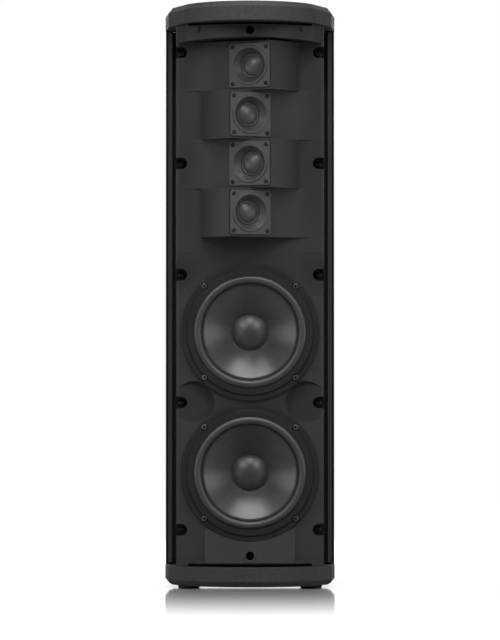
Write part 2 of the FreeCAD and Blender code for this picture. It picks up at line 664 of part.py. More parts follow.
def baffle_tray():
    """Front plate with a skirt that runs back to the gasket."""
    tray = box(-BAFFLE_HALF, BAFFLE_HALF, PLANE_D, BAFFLE_REAR_D, SHELL_BOTTOM, SHELL_TOP)
    edges = [e for e in tray.Edges if abs(e.CenterOfMass.y - y_of(PLANE_D)) < 1e-3
             and abs(abs(e.CenterOfMass.x) - BAFFLE_HALF) < 1e-3]
    tray = tray.makeFillet(BAFFLE_EDGE_RADIUS, edges)
    inner_x = BAFFLE_HALF - SKIRT
    hollow_top = LAND_TOP_Z + SHOULDER
    rear_d = BAFFLE_REAR_D + 1
    low_z = SHELL_BOTTOM + SKIRT
    hollows = [
        box(-inner_x, inner_x, PLANE_D + BAFFLE_WALL, rear_d, hollow_top, SHELL_TOP - SKIRT),
        box(-inner_x, inner_x, LAND_D + BAFFLE_WALL, rear_d, low_z, hollow_top),
        box(-LAND_INNER_X, LAND_INNER_X, PLANE_D + BAFFLE_WALL, rear_d, low_z, hollow_top),
    ]
    return tray.cut(both_sides(side_land()) + hollows)


def brow_plan(reach):
    """Curved shelf outline, moved forwards by reach."""
    def at(x, d):
        return V(x, y_of(d), 0)

    front = Part.Arc(at(-BROW_BEND_X, BROW_BEND_D), at(0, BROW_FRONT_D - reach), at(BROW_BEND_X, BROW_BEND_D))
    back_d = PLANE_D + BAFFLE_WALL
    rest = Part.makePolygon([at(BROW_BEND_X, BROW_BEND_D), at(BROW_SIDE_X, BROW_SIDE_D),
                             at(BROW_SIDE_X, back_d), at(-BROW_SIDE_X, back_d),
                             at(-BROW_SIDE_X, BROW_SIDE_D), at(-BROW_BEND_X, BROW_BEND_D)])
    return Part.Face(Part.Wire([front.toShape()] + rest.Edges))


def shelf(reach, z0, z1):
    face = brow_plan(reach)
    face.translate(V(0, 0, z0))
    return face.extrude(V(0, 0, z1 - z0))


def brow_depth(x):
    """Depth of the curved shelf's front at x."""
    rise = BROW_BEND_D - BROW_FRONT_D
    radius = (BROW_BEND_X ** 2 + rise ** 2) / (2 * rise)
    return BROW_FRONT_D + radius - math.sqrt(radius ** 2 - x ** 2)


def shelf_lip(z0):
    """Thin edge that runs along the grille slot."""
    reach_box = box(-SLOT_HALF, SLOT_HALF, -LIP_REACH, PLANE_D, z0, z0 + LIP_HEIGHT)
    return shelf(LIP_REACH, z0, z0 + LIP_HEIGHT).common(reach_box)


def brow():
    """Top shelf: a curved face, a thin lip below the grille slot and small ribs under it."""
    top = CAP_HIGH_BOTTOM - SLOT_HEIGHT
    bottom = top - BROW_HEIGHT
    block = shelf(0, bottom, SHELL_TOP)
    slot = box(-SLOT_HALF, SLOT_HALF, -LIP_REACH, SLOT_FLOOR_D, top, SHELL_TOP + 1)
    curve = arc((-BROW_SIDE_X, bottom), (0, bottom + BROW_ARCH), (BROW_SIDE_X, bottom))
    chord = line((BROW_SIDE_X, bottom), (-BROW_SIDE_X, bottom))
    arch = Part.Face(Part.Wire([curve, chord])).extrude(V(0, 0, DEPTH))
    arch.rotate(V(0, 0, 0), V(1, 0, 0), 90)
    arch.translate(V(0, y_of(DEPTH), 0))
    in_front = box(-BROW_SIDE_X, BROW_SIDE_X, 0, PLANE_D, bottom, bottom + BROW_HEIGHT)
    ribs = [rib(side * x, top - LIP_HEIGHT - RIB_HEIGHT) for x in BROW_RIB_X for side in (1, -1)]
    return [block.cut([slot, arch.common(in_front)]), shelf_lip(top - LIP_HEIGHT)] + ribs


def rib(x, z0):
    front = brow_depth(x) - LIP_REACH + RIB_SETBACK
    return box(x - RIB_WIDTH / 2, x + RIB_WIDTH / 2, front, front + RIB_REACH, z0, z0 + RIB_HEIGHT)


def sill():
    """Bottom shelf: a lip, its ribs and a steep flat ramp up to the lower woofer."""
    bottom = CAP_LOW_TOP + SILL_SLOT_HEIGHT
    top = bottom + LIP_HEIGHT
    block = shelf(0, SHELL_BOTTOM, top)
    slot = box(-SLOT_HALF, SLOT_HALF, -LIP_REACH, SLOT_FLOOR_D, SHELL_BOTTOM - 1, bottom)
    ribs = [rib(side * x, top) for x in SILL_RIB_X for side in (1, -1)]
    ramp = side_prism([(SILL_RAMP_FOOT_D, bottom), (SILL_RAMP_FOOT_D, top), (PLANE_D, SILL_RAMP_TOP_Z),
                       (PLANE_D + BAFFLE_WALL, SILL_RAMP_TOP_Z), (PLANE_D + BAFFLE_WALL, bottom)],
                      -SILL_RAMP_X, SILL_RAMP_X)
    return [block.cut(slot), shelf_lip(bottom), ramp] + ribs


def wedge_face(side, blend):
    """Plan of one tweeter wedge; side 1 has its ridge at +X and faces -X.

    The blend is the tangent length of the arc that eases its long face into the baffle.
    """
    def at(x, d):
        return V(side * x, y_of(d), 0)

    foot_x = RIDGE_X - (PLANE_D - RIDGE_D) / math.tan(math.radians(TWEETER_TILT))
    chord = math.hypot(RETURN_X - RIDGE_X, PLANE_D - RIDGE_D)
    bulge_x = (RETURN_X + RIDGE_X) / 2 + RETURN_BULGE * (PLANE_D - RIDGE_D) / chord
    bulge_d = (PLANE_D + RIDGE_D) / 2 - RETURN_BULGE * (RETURN_X - RIDGE_X) / chord
    back = Part.Arc(at(RIDGE_X, RIDGE_D), at(bulge_x, bulge_d), at(RETURN_X, PLANE_D)).toShape()
    base_d = PLANE_D + BAFFLE_WALL / 2
    tilt = math.radians(TWEETER_TILT)
    ease = blend * math.tan(tilt / 4)
    base = Part.makePolygon([at(RETURN_X, PLANE_D), at(RETURN_X, base_d), at(foot_x - blend, base_d),
                             at(foot_x - blend, PLANE_D)])
    fold = []
    rise_end = at(foot_x + blend * math.cos(tilt), PLANE_D - blend * math.sin(tilt))
    if blend:
        middle = at(foot_x - ease * math.sin(tilt / 2), PLANE_D - ease * math.cos(tilt / 2))
        fold = [Part.Arc(at(foot_x - blend, PLANE_D), middle, rise_end).toShape()]
    slope = Part.makePolygon([rise_end, at(RIDGE_X, RIDGE_D)])
    return Part.Face(Part.Wire([back] + base.Edges + fold + slope.Edges))


def wedge_side(index):
    return 1 if index % 2 == 0 else -1


def tweeter_place(shape, index):
    """Move a shape drawn at the plate's centre, facing -Y, onto its wedge."""
    side = wedge_side(index)
    face_d = RIDGE_D + RIDGE_X * math.tan(math.radians(TWEETER_TILT))
    shape.rotate(V(0, 0, 0), V(0, 0, 1), -side * TWEETER_TILT)
    shape.translate(V(0, y_of(face_d), TWEETER_Z[index]))
    return shape


def wedge(index):
    """Outer block of one wedge, the hollow behind it and the hole for its tweeter."""
    side = wedge_side(index)
    z0 = TWEETER_Z[index] - TWEETER_PITCH / 2
    face = wedge_face(side, WEDGE_BLEND)
    face.translate(V(0, 0, z0))
    block = face.extrude(V(0, 0, TWEETER_PITCH))
    inner = wedge_face(side, 0).makeOffset2D(-BAFFLE_WALL)
    inner.translate(V(0, 0, z0 + BAFFLE_WALL / 2))
    hollow = inner.extrude(V(0, 0, TWEETER_PITCH - BAFFLE_WALL))
    window = box(-WEDGE_WINDOW, WEDGE_WINDOW, PLANE_D - 1, PLANE_D + BAFFLE_WALL + 1,
                 z0 + BAFFLE_WALL / 2, z0 + TWEETER_PITCH - BAFFLE_WALL / 2)
    seat_depth = PLATE_THICKNESS - PLATE_PROUD
    seat = rounded_plate(PLATE_SIZE + 2 * GAP, PLATE_CORNER + GAP, -20, seat_depth)
    hole = local_rod(0, 0, TWEETER_MAGNET_RADIUS + 1.5, -1, TWEETER_POCKET)
    pilots = [local_rod(x, z, SMALL_SHANK_RADIUS, 0, TWEETER_PILOT) for x, z in tweeter_screw_places()]
    tools = [hollow, window] + [tweeter_place(tool, index) for tool in [seat, hole] + pilots]
    return block, tools


def local_rod(x, z, radius, t0, t1):
    return Part.makeCylinder(radius, t1 - t0, V(x, t0, z), V(0, 1, 0))


def rounded_plate(size, radius, t0, t1):
    """Square plate with round corners, facing -Y, centred on the origin."""
    plate = Part.makeBox(size, t1 - t0, size, V(-size / 2, t0, -size / 2))
    corners = [e for e in plate.Edges if abs(abs(e.CenterOfMass.x) - size / 2) < 1e-6
               and abs(abs(e.CenterOfMass.z) - size / 2) < 1e-6]
    return plate.makeFillet(radius, corners)


def waist_scoop(margin):
    """Round flat-floored hollow at the middle right well; the margin makes the wall behind it."""
    mouth = V(WAIST_X, y_of(PLANE_D - 0.5 + margin), CAP_LOW_TOP + LOWER_WELLS[1])
    cone = Part.makeCone(WAIST_RADIUS + margin, WAIST_FLOOR_RADIUS + margin,
                         LAND_FALL + 0.5, mouth, V(0, 1, 0))
    outer_x = BAFFLE_HALF + 1 - 1.5 * margin / BAFFLE_WALL   # the backing stays inside the skirt
    return cone.common(box(0, outer_x, 0, DEPTH, SHELL_BOTTOM, SHELL_TOP))


def side_well(z):
    """Air of one right-hand screw well, open to the baffle's edge."""
    bore = rod(WELL_X, z, WELL_RADIUS, 0, WELL_FLOOR_D)
    mouth = box(WELL_X, BAFFLE_HALF + 1, 0, WELL_MOUTH_D, z - WELL_RADIUS, z + WELL_RADIUS)
    return bore.fuse(mouth)


def front_baffle():
    limits = box(-BAFFLE_HALF + 0.5, BAFFLE_HALF - 0.5, 0, BAFFLE_REAR_D, SHELL_BOTTOM, SHELL_TOP)
    pads = [rod(0, z, RIM_RADIUS + 1.5, PLANE_D, LAND_D + BAFFLE_WALL).common(limits) for z in WOOFER_Z]
    tubes = [rod(0, z, CENTRE_WELL_RADIUS + WELL_WALL, PLANE_D + 2, BAFFLE_REAR_D) for z in CENTRE_WELL_Z]
    for x, z in side_well_places():
        start = LAND_D + 0.5 if z <= LAND_TOP_Z else PLANE_D + 2
        tubes.append(rod(x, z, WELL_RADIUS + WELL_WALL, start, BAFFLE_REAR_D))
    tubes = [tube.common(limits) for tube in tubes]
    blocks = []
    holes = []
    for index in range(TWEETER_COUNT):
        block, tools = wedge(index)
        blocks.append(block)
        holes += tools
    backing = both_sides(waist_scoop(BAFFLE_WALL))
    tray = baffle_tray().fuse(backing).cut(both_sides(waist_scoop(0)) + both_sides(side_land()))
    solid = tray.fuse(pads + tubes + blocks + brow() + sill())
    for z in WOOFER_Z:
        holes.append(rod(0, z, CUTOUT_RADIUS, PLANE_D - 1, BAFFLE_REAR_D))
        holes.append(rod(0, z, RIM_RADIUS + GAP, 0, PLANE_D))
        for x, dz in woofer_screw_places():
            holes.append(rod(x, z + dz, SHANK_RADIUS, PLANE_D - 1, LAND_D + BAFFLE_WALL + 1))
    for z in side_well_heights():
        holes += both_sides(side_well(z))
    for z in CENTRE_WELL_Z:
        holes.append(rod(0, z, CENTRE_WELL_RADIUS, -LIP_REACH, WELL_FLOOR_D))
    for x, z in well_places():
        holes.append(rod(x, z, SHANK_RADIUS, WELL_FLOOR_D - 1, BAFFLE_REAR_D + 1))
    return solid.cut(holes).removeSplitter()


def baffle_gasket():
    """Foam seal between the baffle's rear edge and the cabinet's ledge."""
    half = BAFFLE_HALF - GASKET_INSET
    outer = box(-half, half, BAFFLE_REAR_D, FLANGE_D, SHELL_BOTTOM + GASKET_INSET, SHELL_TOP - GASKET_INSET)
    inner = box(-FLANGE_INNER_X, FLANGE_INNER_X, BAFFLE_REAR_D - 1, FLANGE_D + 1,
                SHELL_BOTTOM + END_PANEL + FLANGE_END, SHELL_TOP - END_PANEL - FLANGE_END)
    holes = [rod(x, z, SHANK_RADIUS, BAFFLE_REAR_D - 1, FLANGE_D + 1) for x, z in well_places()]
    return outer.cut([inner] + holes)


# ---- Woofer -------------------------------------------------------------------------------
def woofer_screw_places():
    return [(sx * WOOFER_SCREW_OFFSET, sz * WOOFER_SCREW_OFFSET) for sx in (1, -1) for sz in (1, -1)]


def basket(z):
    profile = [(RIM_RADIUS, -RIM_THICKNESS), (RIM_RADIUS, 0), (CUTOUT_RADIUS - 1, 0),
               (BASKET_SEAT_RADIUS, BASKET_DEPTH - BASKET_THICKNESS), (BASKET_SEAT_RADIUS, BASKET_DEPTH),
               (BASKET_BORE, BASKET_DEPTH), (BASKET_BORE, BASKET_DEPTH - BASKET_THICKNESS),
               (BASKET_SEAT_RADIUS - BASKET_THICKNESS, BASKET_DEPTH - BASKET_THICKNESS),
               (CUTOUT_RADIUS - 4, -RIM_THICKNESS)]
    frame = turned(profile, 0, z, PLANE_D)
    cuts = [rod(x, z + dz, SHANK_RADIUS, PLANE_D - 5, PLANE_D + 1) for x, dz in woofer_screw_places()]
    for i in range(BASKET_WINDOWS):
        window = box(-WINDOW_HALF, WINDOW_HALF, PLANE_D + WINDOW_FRONT, PLANE_D + WINDOW_REAR,
                     BASKET_SEAT_RADIUS - WINDOW_FRONT, RIM_RADIUS)
        window.rotate(V(0, 0, 0), V(0, 1, 0), i * 360 / BASKET_WINDOWS)
        window.translate(V(0, 0, z))
        cuts.append(window)
    return frame.cut(cuts)


def magnet(z):
    """Top plate, ring magnet and pole piece with the gap for the voice coil."""
    outer_gap = FORMER_RADIUS + WINDING_THICKNESS + GAP
    inner_gap = FORMER_RADIUS - FORMER_THICKNESS - COIL_CLEARANCE
    plate = MAGNET_RADIUS - PLATE_INSET
    face = BASKET_DEPTH
    back = face + MAGNET_THICKNESS
    floor = back - PLATE_INSET
    profile = [(0, face), (inner_gap, face), (inner_gap, floor), (outer_gap, floor), (outer_gap, face),
               (plate, face), (plate, face + TOP_PLATE), (MAGNET_RADIUS, face + TOP_PLATE),
               (MAGNET_RADIUS, floor), (plate, floor), (plate, back), (0, back)]
    return turned(profile, 0, z, PLANE_D)


def trim_ring(z):
    back = -RIM_THICKNESS - RUBBER
    front = back - TRIM_THICKNESS
    ring = turned([(TRIM_INNER, back), (TRIM_OUTER, back), (TRIM_OUTER - TRIM_CHAMFER, front),
                   (TRIM_INNER, front)], 0, z, PLANE_D)
    return ring.cut(head_notches(z))


def head_notches(z):
    """Clearance round the heads of the frame's screws."""
    front = PLANE_D - 2 * WOOFER_SCREW
    return [rod(x, z + dz, HEAD_RADIUS + GAP, front, PLANE_D) for x, dz in woofer_screw_places()]


def surround(z):
    """Half-roll rubber edge with a flange on each side."""
    back = -RIM_THICKNESS
    front = back - RUBBER
    middle = ROLL_INNER + ROLL_RADIUS
    inner_radius = ROLL_RADIUS - RUBBER
    lip = ROLL_INNER - ROLL_LIP
    outer = TRIM_OUTER - 2
    edges = [
        line((lip, back), (lip, front)),
        line((lip, front), (ROLL_INNER, front)),
        arc((ROLL_INNER, front), (middle, front - ROLL_RADIUS), (middle + ROLL_RADIUS, front)),
        line((middle + ROLL_RADIUS, front), (outer, front)),
        line((outer, front), (outer, back)),
        line((outer, back), (middle + inner_radius, back)),
        arc((middle + inner_radius, back), (middle, back - inner_radius), (middle - inner_radius, back)),
        line((middle - inner_radius, back), (lip, back)),
    ]
    return revolved_edges(edges, 0, z, PLANE_D).cut(head_notches(z))


def cone_line(offset):
    """Front face of the cone (offset 0) or its back (offset is the thickness)."""
    start = (ROLL_INNER - 1.0, -RIM_THICKNESS + 0.6 + offset)
    middle = (CONE_MIDDLE_RADIUS, CONE_MIDDLE_T + offset * 1.3)
    end = (FORMER_RADIUS + 0.1, CONE_NECK_T + offset)
    return start, middle, end


def cone(z):
    front = cone_line(0)
    back = cone_line(CONE_THICKNESS)
    rim_top = (CONE_RIM_INNER, -RIM_THICKNESS)
    rim_edge = (front[0][0], -RIM_THICKNESS)
    inner = (CONE_RIM_INNER, CONE_TOP_T)
    edges = [
        line(rim_top, rim_edge),
        line(rim_edge, back[0]),
        arc(back[0], back[1], back[2]),
        line(back[2], front[2]),
        arc(front[2], front[1], inner),
        line(inner, rim_top),
    ]
    return revolved_edges(edges, 0, z, PLANE_D)


def cone_depth(radius):
    """Depth of the cone's front face at a radius, from the circle through its three points."""
    (x1, y1) = (CONE_RIM_INNER, CONE_TOP_T)
    (x2, y2) = cone_line(0)[1]
    (x3, y3) = cone_line(0)[2]
    det = 2 * (x1 * (y2 - y3) + x2 * (y3 - y1) + x3 * (y1 - y2))
    s1 = x1 ** 2 + y1 ** 2
    s2 = x2 ** 2 + y2 ** 2
    s3 = x3 ** 2 + y3 ** 2
    cx = (s1 * (y2 - y3) + s2 * (y3 - y1) + s3 * (y1 - y2)) / det
    cy = (s1 * (x3 - x2) + s2 * (x1 - x3) + s3 * (x2 - x1)) / det
    circle = math.hypot(x2 - cx, y2 - cy)
    side = 1 if y2 > cy else -1
    return cy + side * math.sqrt(circle ** 2 - (radius - cx) ** 2)


def crown_arc(radius, rise, base):
    """Middle point of a dome's section, from its crown on the axis to its edge."""
    sphere = (radius ** 2 + rise ** 2) / (2 * rise)
    half_angle = math.asin(radius / sphere) / 2
    return (sphere * math.sin(half_angle), base - rise + sphere * (1 - math.cos(half_angle)))


def dust_cap(z):
    """Shallow dome glued to the cone."""
    seat = cone_depth(DUST_CAP_RADIUS) - GAP
    inner = DUST_CAP_RADIUS - DUST_CAP_GLUE
    crown = seat - DUST_CAP_RISE
    inner_crown = (0, crown + DUST_CAP_SKIN)
    edges = [
        line((0, crown), inner_crown),
        arc(inner_crown, crown_arc(inner, DUST_CAP_RISE - DUST_CAP_SKIN, seat), (inner, seat)),
        line((inner, seat), (DUST_CAP_RADIUS, seat)),
        arc((DUST_CAP_RADIUS, seat), crown_arc(DUST_CAP_RADIUS, DUST_CAP_RISE, seat), (0, crown)),
    ]
    return revolved_edges(edges, 0, z, PLANE_D)


def voice_coil(z):
    inner = FORMER_RADIUS - FORMER_THICKNESS
    wound = FORMER_RADIUS + WINDING_THICKNESS
    start = CONE_NECK_T - 2
    end = BASKET_DEPTH + WINDING_LENGTH
    profile = [(inner, start), (FORMER_RADIUS, start), (FORMER_RADIUS, end - WINDING_LENGTH),
               (wound, end - WINDING_LENGTH), (wound, end), (inner, end)]
    return turned(profile, 0, z, PLANE_D)


def spider(z):
    """Corrugated disc that centres the voice coil."""
    inner = FORMER_RADIUS + 0.1
    outer = BASKET_SEAT_RADIUS + BASKET_THICKNESS
    steps = 2 * SPIDER_WAVES
    front = []
    for i in range(steps + 1):
        wave = SPIDER_WAVE_HEIGHT if i % 2 else -SPIDER_WAVE_HEIGHT
        front.append((inner + (outer - inner) * i / steps, SPIDER_T + wave))
    back = [(r, t + SPIDER_THICKNESS) for r, t in reversed(front)]
    return turned(front + back, 0, z, PLANE_D)


# ---- Tweeter ------------------------------------------------------------------------------
def local_turned(profile):
    corners = [V(r, t, 0) for r, t in profile]
    wire = Part.makePolygon(corners + corners[:1])
    return Part.Face(wire).revolve(V(0, 0, 0), V(0, 1, 0), 360)


def tweeter_screw_places():
    return [(sx * PLATE_SCREW, sz * PLATE_SCREW) for sx in (1, -1) for sz in (1, -1)]


def tweeter_frame(index):
    """Square face plate with a raised ring and a short conical horn."""
    front = -PLATE_PROUD
    back = front + PLATE_THICKNESS
    floor = front + DOME_T
    plate = rounded_plate(PLATE_SIZE, PLATE_CORNER, front, back)
    barrel = local_rod(0, 0, TWEETER_MAGNET_RADIUS + 1, back, floor + 1)
    top = front - RING_HEIGHT
    ring = local_turned([(RING_INNER - RING_SLOPE, front), (RING_OUTER, front),
                         (RING_OUTER - RING_SLOPE, top), (RING_INNER + RING_SLOPE, top)])
    horn = local_turned([(0, front - 3), (RING_INNER, front - 3), (RING_INNER, front),
                         (THROAT_RADIUS, floor - 1), (THROAT_RADIUS, floor + 3), (0, floor + 3)])
    holes = [local_rod(x, z, SMALL_SHANK_RADIUS, front - 1, back + 1) for x, z in tweeter_screw_places()]
    return tweeter_place(plate.fuse([barrel, ring]).cut([horn] + holes), index)


def tweeter_magnet(index):
    face = -PLATE_PROUD + DOME_T + 1
    gap_outer = DOME_RADIUS + DOME_SKIN
    gap_inner = DOME_RADIUS - DOME_SKIN - 2 * COIL_CLEARANCE
    back = face + TWEETER_MAGNET_DEPTH
    floor = back - TWEETER_PLATE
    pole_face = face + DOME_SKIN
    profile = [(0, pole_face), (gap_inner, pole_face), (gap_inner, floor), (gap_outer, floor),
               (gap_outer, face), (TWEETER_MAGNET_RADIUS, face), (TWEETER_MAGNET_RADIUS, back), (0, back)]
    return tweeter_place(local_turned(profile), index)


def tweeter_dome(index):
    """Dome, its rolled edge and its voice-coil former: the moving piece."""
    seat = -PLATE_PROUD + DOME_T
    crown = seat - DOME_RISE
    inner = DOME_RADIUS - DOME_SKIN
    outer = DOME_RADIUS + DOME_EDGE
    former_end = seat + DOME_FORMER
    joint = seat - DOME_EDGE_DROP
    edges = [
        line((0, crown), (0, crown + DOME_SKIN)),
        arc((0, crown + DOME_SKIN), crown_arc(inner, DOME_RISE - DOME_SKIN, seat), (inner, seat)),
        line((inner, seat), (inner, former_end)),
        line((inner, former_end), (DOME_RADIUS, former_end)),
        line((DOME_RADIUS, former_end), (DOME_RADIUS, seat)),
        line((DOME_RADIUS, seat), (outer, seat)),
        arc((outer, seat), ((DOME_RADIUS + outer) / 2, seat - DOME_EDGE / 2), (DOME_RADIUS, joint)),
        arc((DOME_RADIUS, joint), crown_arc(DOME_RADIUS, DOME_RISE - DOME_EDGE_DROP, joint), (0, crown)),
    ]
    shape = Part.Face(Part.Wire(edges)).revolve(V(0, 0, 0), V(0, 1, 0), 360)
    return tweeter_place(shape, index)


def tweeter_screws():
    seat = DEPTH / 2 - PLATE_PROUD
    screws = []
    for index in range(TWEETER_COUNT):
        for x, z in tweeter_screw_places():
            shape = screw(x, z, seat, TWEETER_SCREW, SMALL_SHANK_RADIUS, SMALL_HEAD_RADIUS, SMALL_HEAD_HEIGHT)
            screws.append(tweeter_place(shape, index))
    return screws


# ---- Screws of the enclosure --------------------------------------------------------------
def baffle_screws():
    return [screw(x, z, WELL_FLOOR_D, BAFFLE_SCREW) for x, z in well_places()]


def woofer_screws():
    seat = PLANE_D - RIM_THICKNESS
    return [screw(x, z + dz, seat, WOOFER_SCREW) for z in WOOFER_Z for x, dz in woofer_screw_places()]


def cap_screws():
    """Driven from inside the cabinet, up into the top cap and down into the bottom cap."""
    upper = [upright_screw(x, d, SHELL_TOP - END_PANEL, CAP_SCREW, 1) for x, d in cap_screw_places()]
    lower = [upright_screw(x, d, SHELL_BOTTOM + END_PANEL, CAP_SCREW, -1) for x, d in cap_screw_places()]
    return upper + lower


def foot_screws():
    return [upright_screw(x, d, FOOT_LIFT - 1.0, FOOT_SCREW, 1) for x, d in foot_places()]


def rear_screws():
    panel = [rear_screw(x, z, PANEL_FACE_D, PANEL_SCREW) for x, z in panel_screw_places()]
    seat = SHELL_REAR_D + HANDLE_PLATE - HANDLE_SINK
    handle = [rear_screw(side * HANDLE_SCREW_X, HANDLE_Z, seat, HANDLE_SCREW) for side in (1, -1)]
    return panel + handle


# ---- Base ---------------------------------------------------------------------------------
def rubber_feet():
    feet = []
    for x, d in foot_places():
        foot = Part.makeCone(FOOT_RADIUS - 1, FOOT_RADIUS, FOOT_LIFT, V(x, y_of(d), 0), V(0, 0, 1))
        foot = foot.fuse(post(x, d, FOOT_RADIUS, FOOT_LIFT, FOOT_LIFT + FOOT_RECESS))
        recess = post(x, d, HEAD_RADIUS + GAP, -1, FOOT_LIFT - 1.0)
        hole = post(x, d, SHANK_RADIUS, -1, FOOT_LIFT + FOOT_RECESS + 1)
        feet.append(foot.cut([recess, hole]))
    return feet


def pole_socket():
    outer = POLE_RADIUS + POLE_WALL
    tube = post(0, POLE_D, outer, FOOT_LIFT, FOOT_LIFT + POLE_DEPTH + POLE_WALL)
    flange = post(0, POLE_D, POLE_FLANGE_RADIUS, FOOT_LIFT, FOOT_LIFT + POLE_FLANGE)
    bore = post(0, POLE_D, POLE_RADIUS, FOOT_LIFT - 1, FOOT_LIFT + POLE_DEPTH)
    return tube.fuse(flange).cut(bore)


# ---- Rear panel and its pieces ------------------------------------------------------------
def jack_places():
    return (JACK_X, LINK_X)


def amp_panel():
    c = PANEL_CLEARANCE
    plate = box(c - TRAY_HALF, TRAY_HALF - c, TRAY_FLOOR_D, PANEL_FACE_D, TRAY_BOTTOM_Z + c, TRAY_TOP_Z - c)
    d0 = TRAY_FLOOR_D - 1
    d1 = PANEL_FACE_D + 1
    holes = [rod(x, z, SHANK_RADIUS, d0, d1) for x, z in panel_screw_places()]
    holes.append(rod(KNOB_X, KNOB_Z, SHAFT_RADIUS + 0.5, d0, d1))
    holes += [rod(x, JACK_Z, JACK_BODY_RADIUS, d0, d1) for x in jack_places()]
    holes.append(box(INLET_X - INLET_CAVITY_WIDTH / 2 - 2, INLET_X + INLET_CAVITY_WIDTH / 2 + 2, d0, d1,
                     INLET_Z - INLET_CAVITY_HEIGHT / 2 - 2, INLET_Z + INLET_CAVITY_HEIGHT / 2 + 2))
    holes.append(box(SWITCH_X - SWITCH_WIDTH / 2, SWITCH_X + SWITCH_WIDTH / 2, d0, d1,
                     SWITCH_Z - SWITCH_HEIGHT / 2, SWITCH_Z + SWITCH_HEIGHT / 2))
    holes.append(jack_keeper(GAP))
    return plate.cut(holes)


def heat_sink():
    base = box(-SINK_HALF, SINK_HALF, PANEL_FACE_D, PANEL_FACE_D + SINK_BASE, SINK_BOTTOM_Z, SINK_TOP_Z)
    pitch = (2 * SINK_HALF - FIN_THICKNESS) / (FIN_COUNT - 1)
    fins = []
    for i in range(FIN_COUNT):
        x = -SINK_HALF + i * pitch
        fins.append(box(x, x + FIN_THICKNESS, PANEL_FACE_D, PANEL_FACE_D + SINK_BASE + FIN_HEIGHT,
                        SINK_BOTTOM_Z, SINK_TOP_Z))
    return base.fuse(fins).removeSplitter()


def level_knob():
    grip = rod(KNOB_X, KNOB_Z, KNOB_RADIUS, PANEL_FACE_D + 1, PANEL_FACE_D + 1 + KNOB_HEIGHT)
    notches = []
    for i in range(KNOB_NOTCHES):
        angle = 2 * math.pi * i / KNOB_NOTCHES
        x = KNOB_X + (KNOB_RADIUS + 0.9) * math.cos(angle)
        z = KNOB_Z + (KNOB_RADIUS + 0.9) * math.sin(angle)
        notches.append(rod(x, z, KNOB_NOTCH_RADIUS, PANEL_FACE_D + 3, PANEL_FACE_D + 2 + KNOB_HEIGHT))
    pointer = box(KNOB_X - 0.6, KNOB_X + 0.6, PANEL_FACE_D + KNOB_HEIGHT, PANEL_FACE_D + 2 + KNOB_HEIGHT,
                  KNOB_Z + 4, KNOB_Z + KNOB_RADIUS)
    bore = rod(KNOB_X, KNOB_Z, SHAFT_RADIUS + SHAFT_CLEARANCE, PANEL_FACE_D, PANEL_FACE_D + KNOB_HEIGHT - 1)
    return grip.cut(notches + [pointer, bore])


def level_pot():
    body = box(KNOB_X - POT_HALF, KNOB_X + POT_HALF, TRAY_FLOOR_D - POT_DEPTH, TRAY_FLOOR_D - GAP,
               KNOB_Z - POT_HALF, KNOB_Z + POT_HALF)
    shaft = rod(KNOB_X, KNOB_Z, SHAFT_RADIUS, TRAY_FLOOR_D - 1, PANEL_FACE_D + KNOB_HEIGHT - 2)
    return body.fuse(shaft)


def jack_blank(x):
    flange = box(x - JACK_WIDTH / 2, x + JACK_WIDTH / 2, PANEL_FACE_D, PANEL_FACE_D + JACK_FLANGE,
                 JACK_Z - JACK_HEIGHT / 2, JACK_Z + JACK_HEIGHT / 2)
    barrel = rod(x, JACK_Z, JACK_BODY_RADIUS, PANEL_FACE_D + JACK_FLANGE - JACK_DEPTH, PANEL_FACE_D)
    return flange.fuse(barrel)


def jack_keeper(margin):
    """Block behind the flange that the latch tab runs in, or the panel's hole for it."""
    half = TAB_WIDTH / 2 + KEEPER_WALL + margin
    return box(JACK_X - half, JACK_X + half, TRAY_FLOOR_D - KEEPER_DEPTH - margin, PANEL_FACE_D + margin,
               JACK_Z + TAB_RISE - KEEPER_WALL - margin, JACK_Z + TAB_RISE + KEEPER_HEIGHT + margin)


def around(x, z, radius):
    """The three contact places of a connector."""
    angles = [math.radians(angle) for angle in CONTACT_ANGLES]
    return [(x + radius * math.cos(angle), z + radius * math.sin(angle)) for angle in angles]


def input_jack():
    """Three-hole socket with a central jack bore and a slot for its latch tab."""
    face = PANEL_FACE_D + JACK_FLANGE
    guide = [(GUIDE_RADIUS, 2), (JACK_BORE_RADIUS, 2), (JACK_BORE_RADIUS, 16), (GUIDE_RADIUS, 16)]
    guide_ring = turned(guide, JACK_X, JACK_Z, face - 16)
    centre = rod(JACK_X, JACK_Z, PLUG_RADIUS, face - CONNECTOR_DEPTH, face + 1)
    mouth = rod(JACK_X, JACK_Z, JACK_BORE_RADIUS, face - 2, face + 1)
    contacts = [rod(x, z, 1.3, face - 14, face + 1) for x, z in around(JACK_X, JACK_Z, 5.4)]
    slot_half = TAB_WIDTH / 2 + GAP
    slot_d = face + TAB_PROUD - TAB_LENGTH - TAB_TRAVEL - 1
    slot = box(JACK_X - slot_half, JACK_X + slot_half, slot_d, face + 1,
               JACK_Z + TAB_RISE - GAP, JACK_Z + TAB_RISE + TAB_HEIGHT + GAP)
    return jack_blank(JACK_X).fuse(jack_keeper(0)).cut([guide_ring, centre, mouth, slot] + contacts)


def latch_tab():
    front = PANEL_FACE_D + JACK_FLANGE + TAB_PROUD
    return box(JACK_X - TAB_WIDTH / 2, JACK_X + TAB_WIDTH / 2, front - TAB_LENGTH, front,
               JACK_Z + TAB_RISE, JACK_Z + TAB_RISE + TAB_HEIGHT)


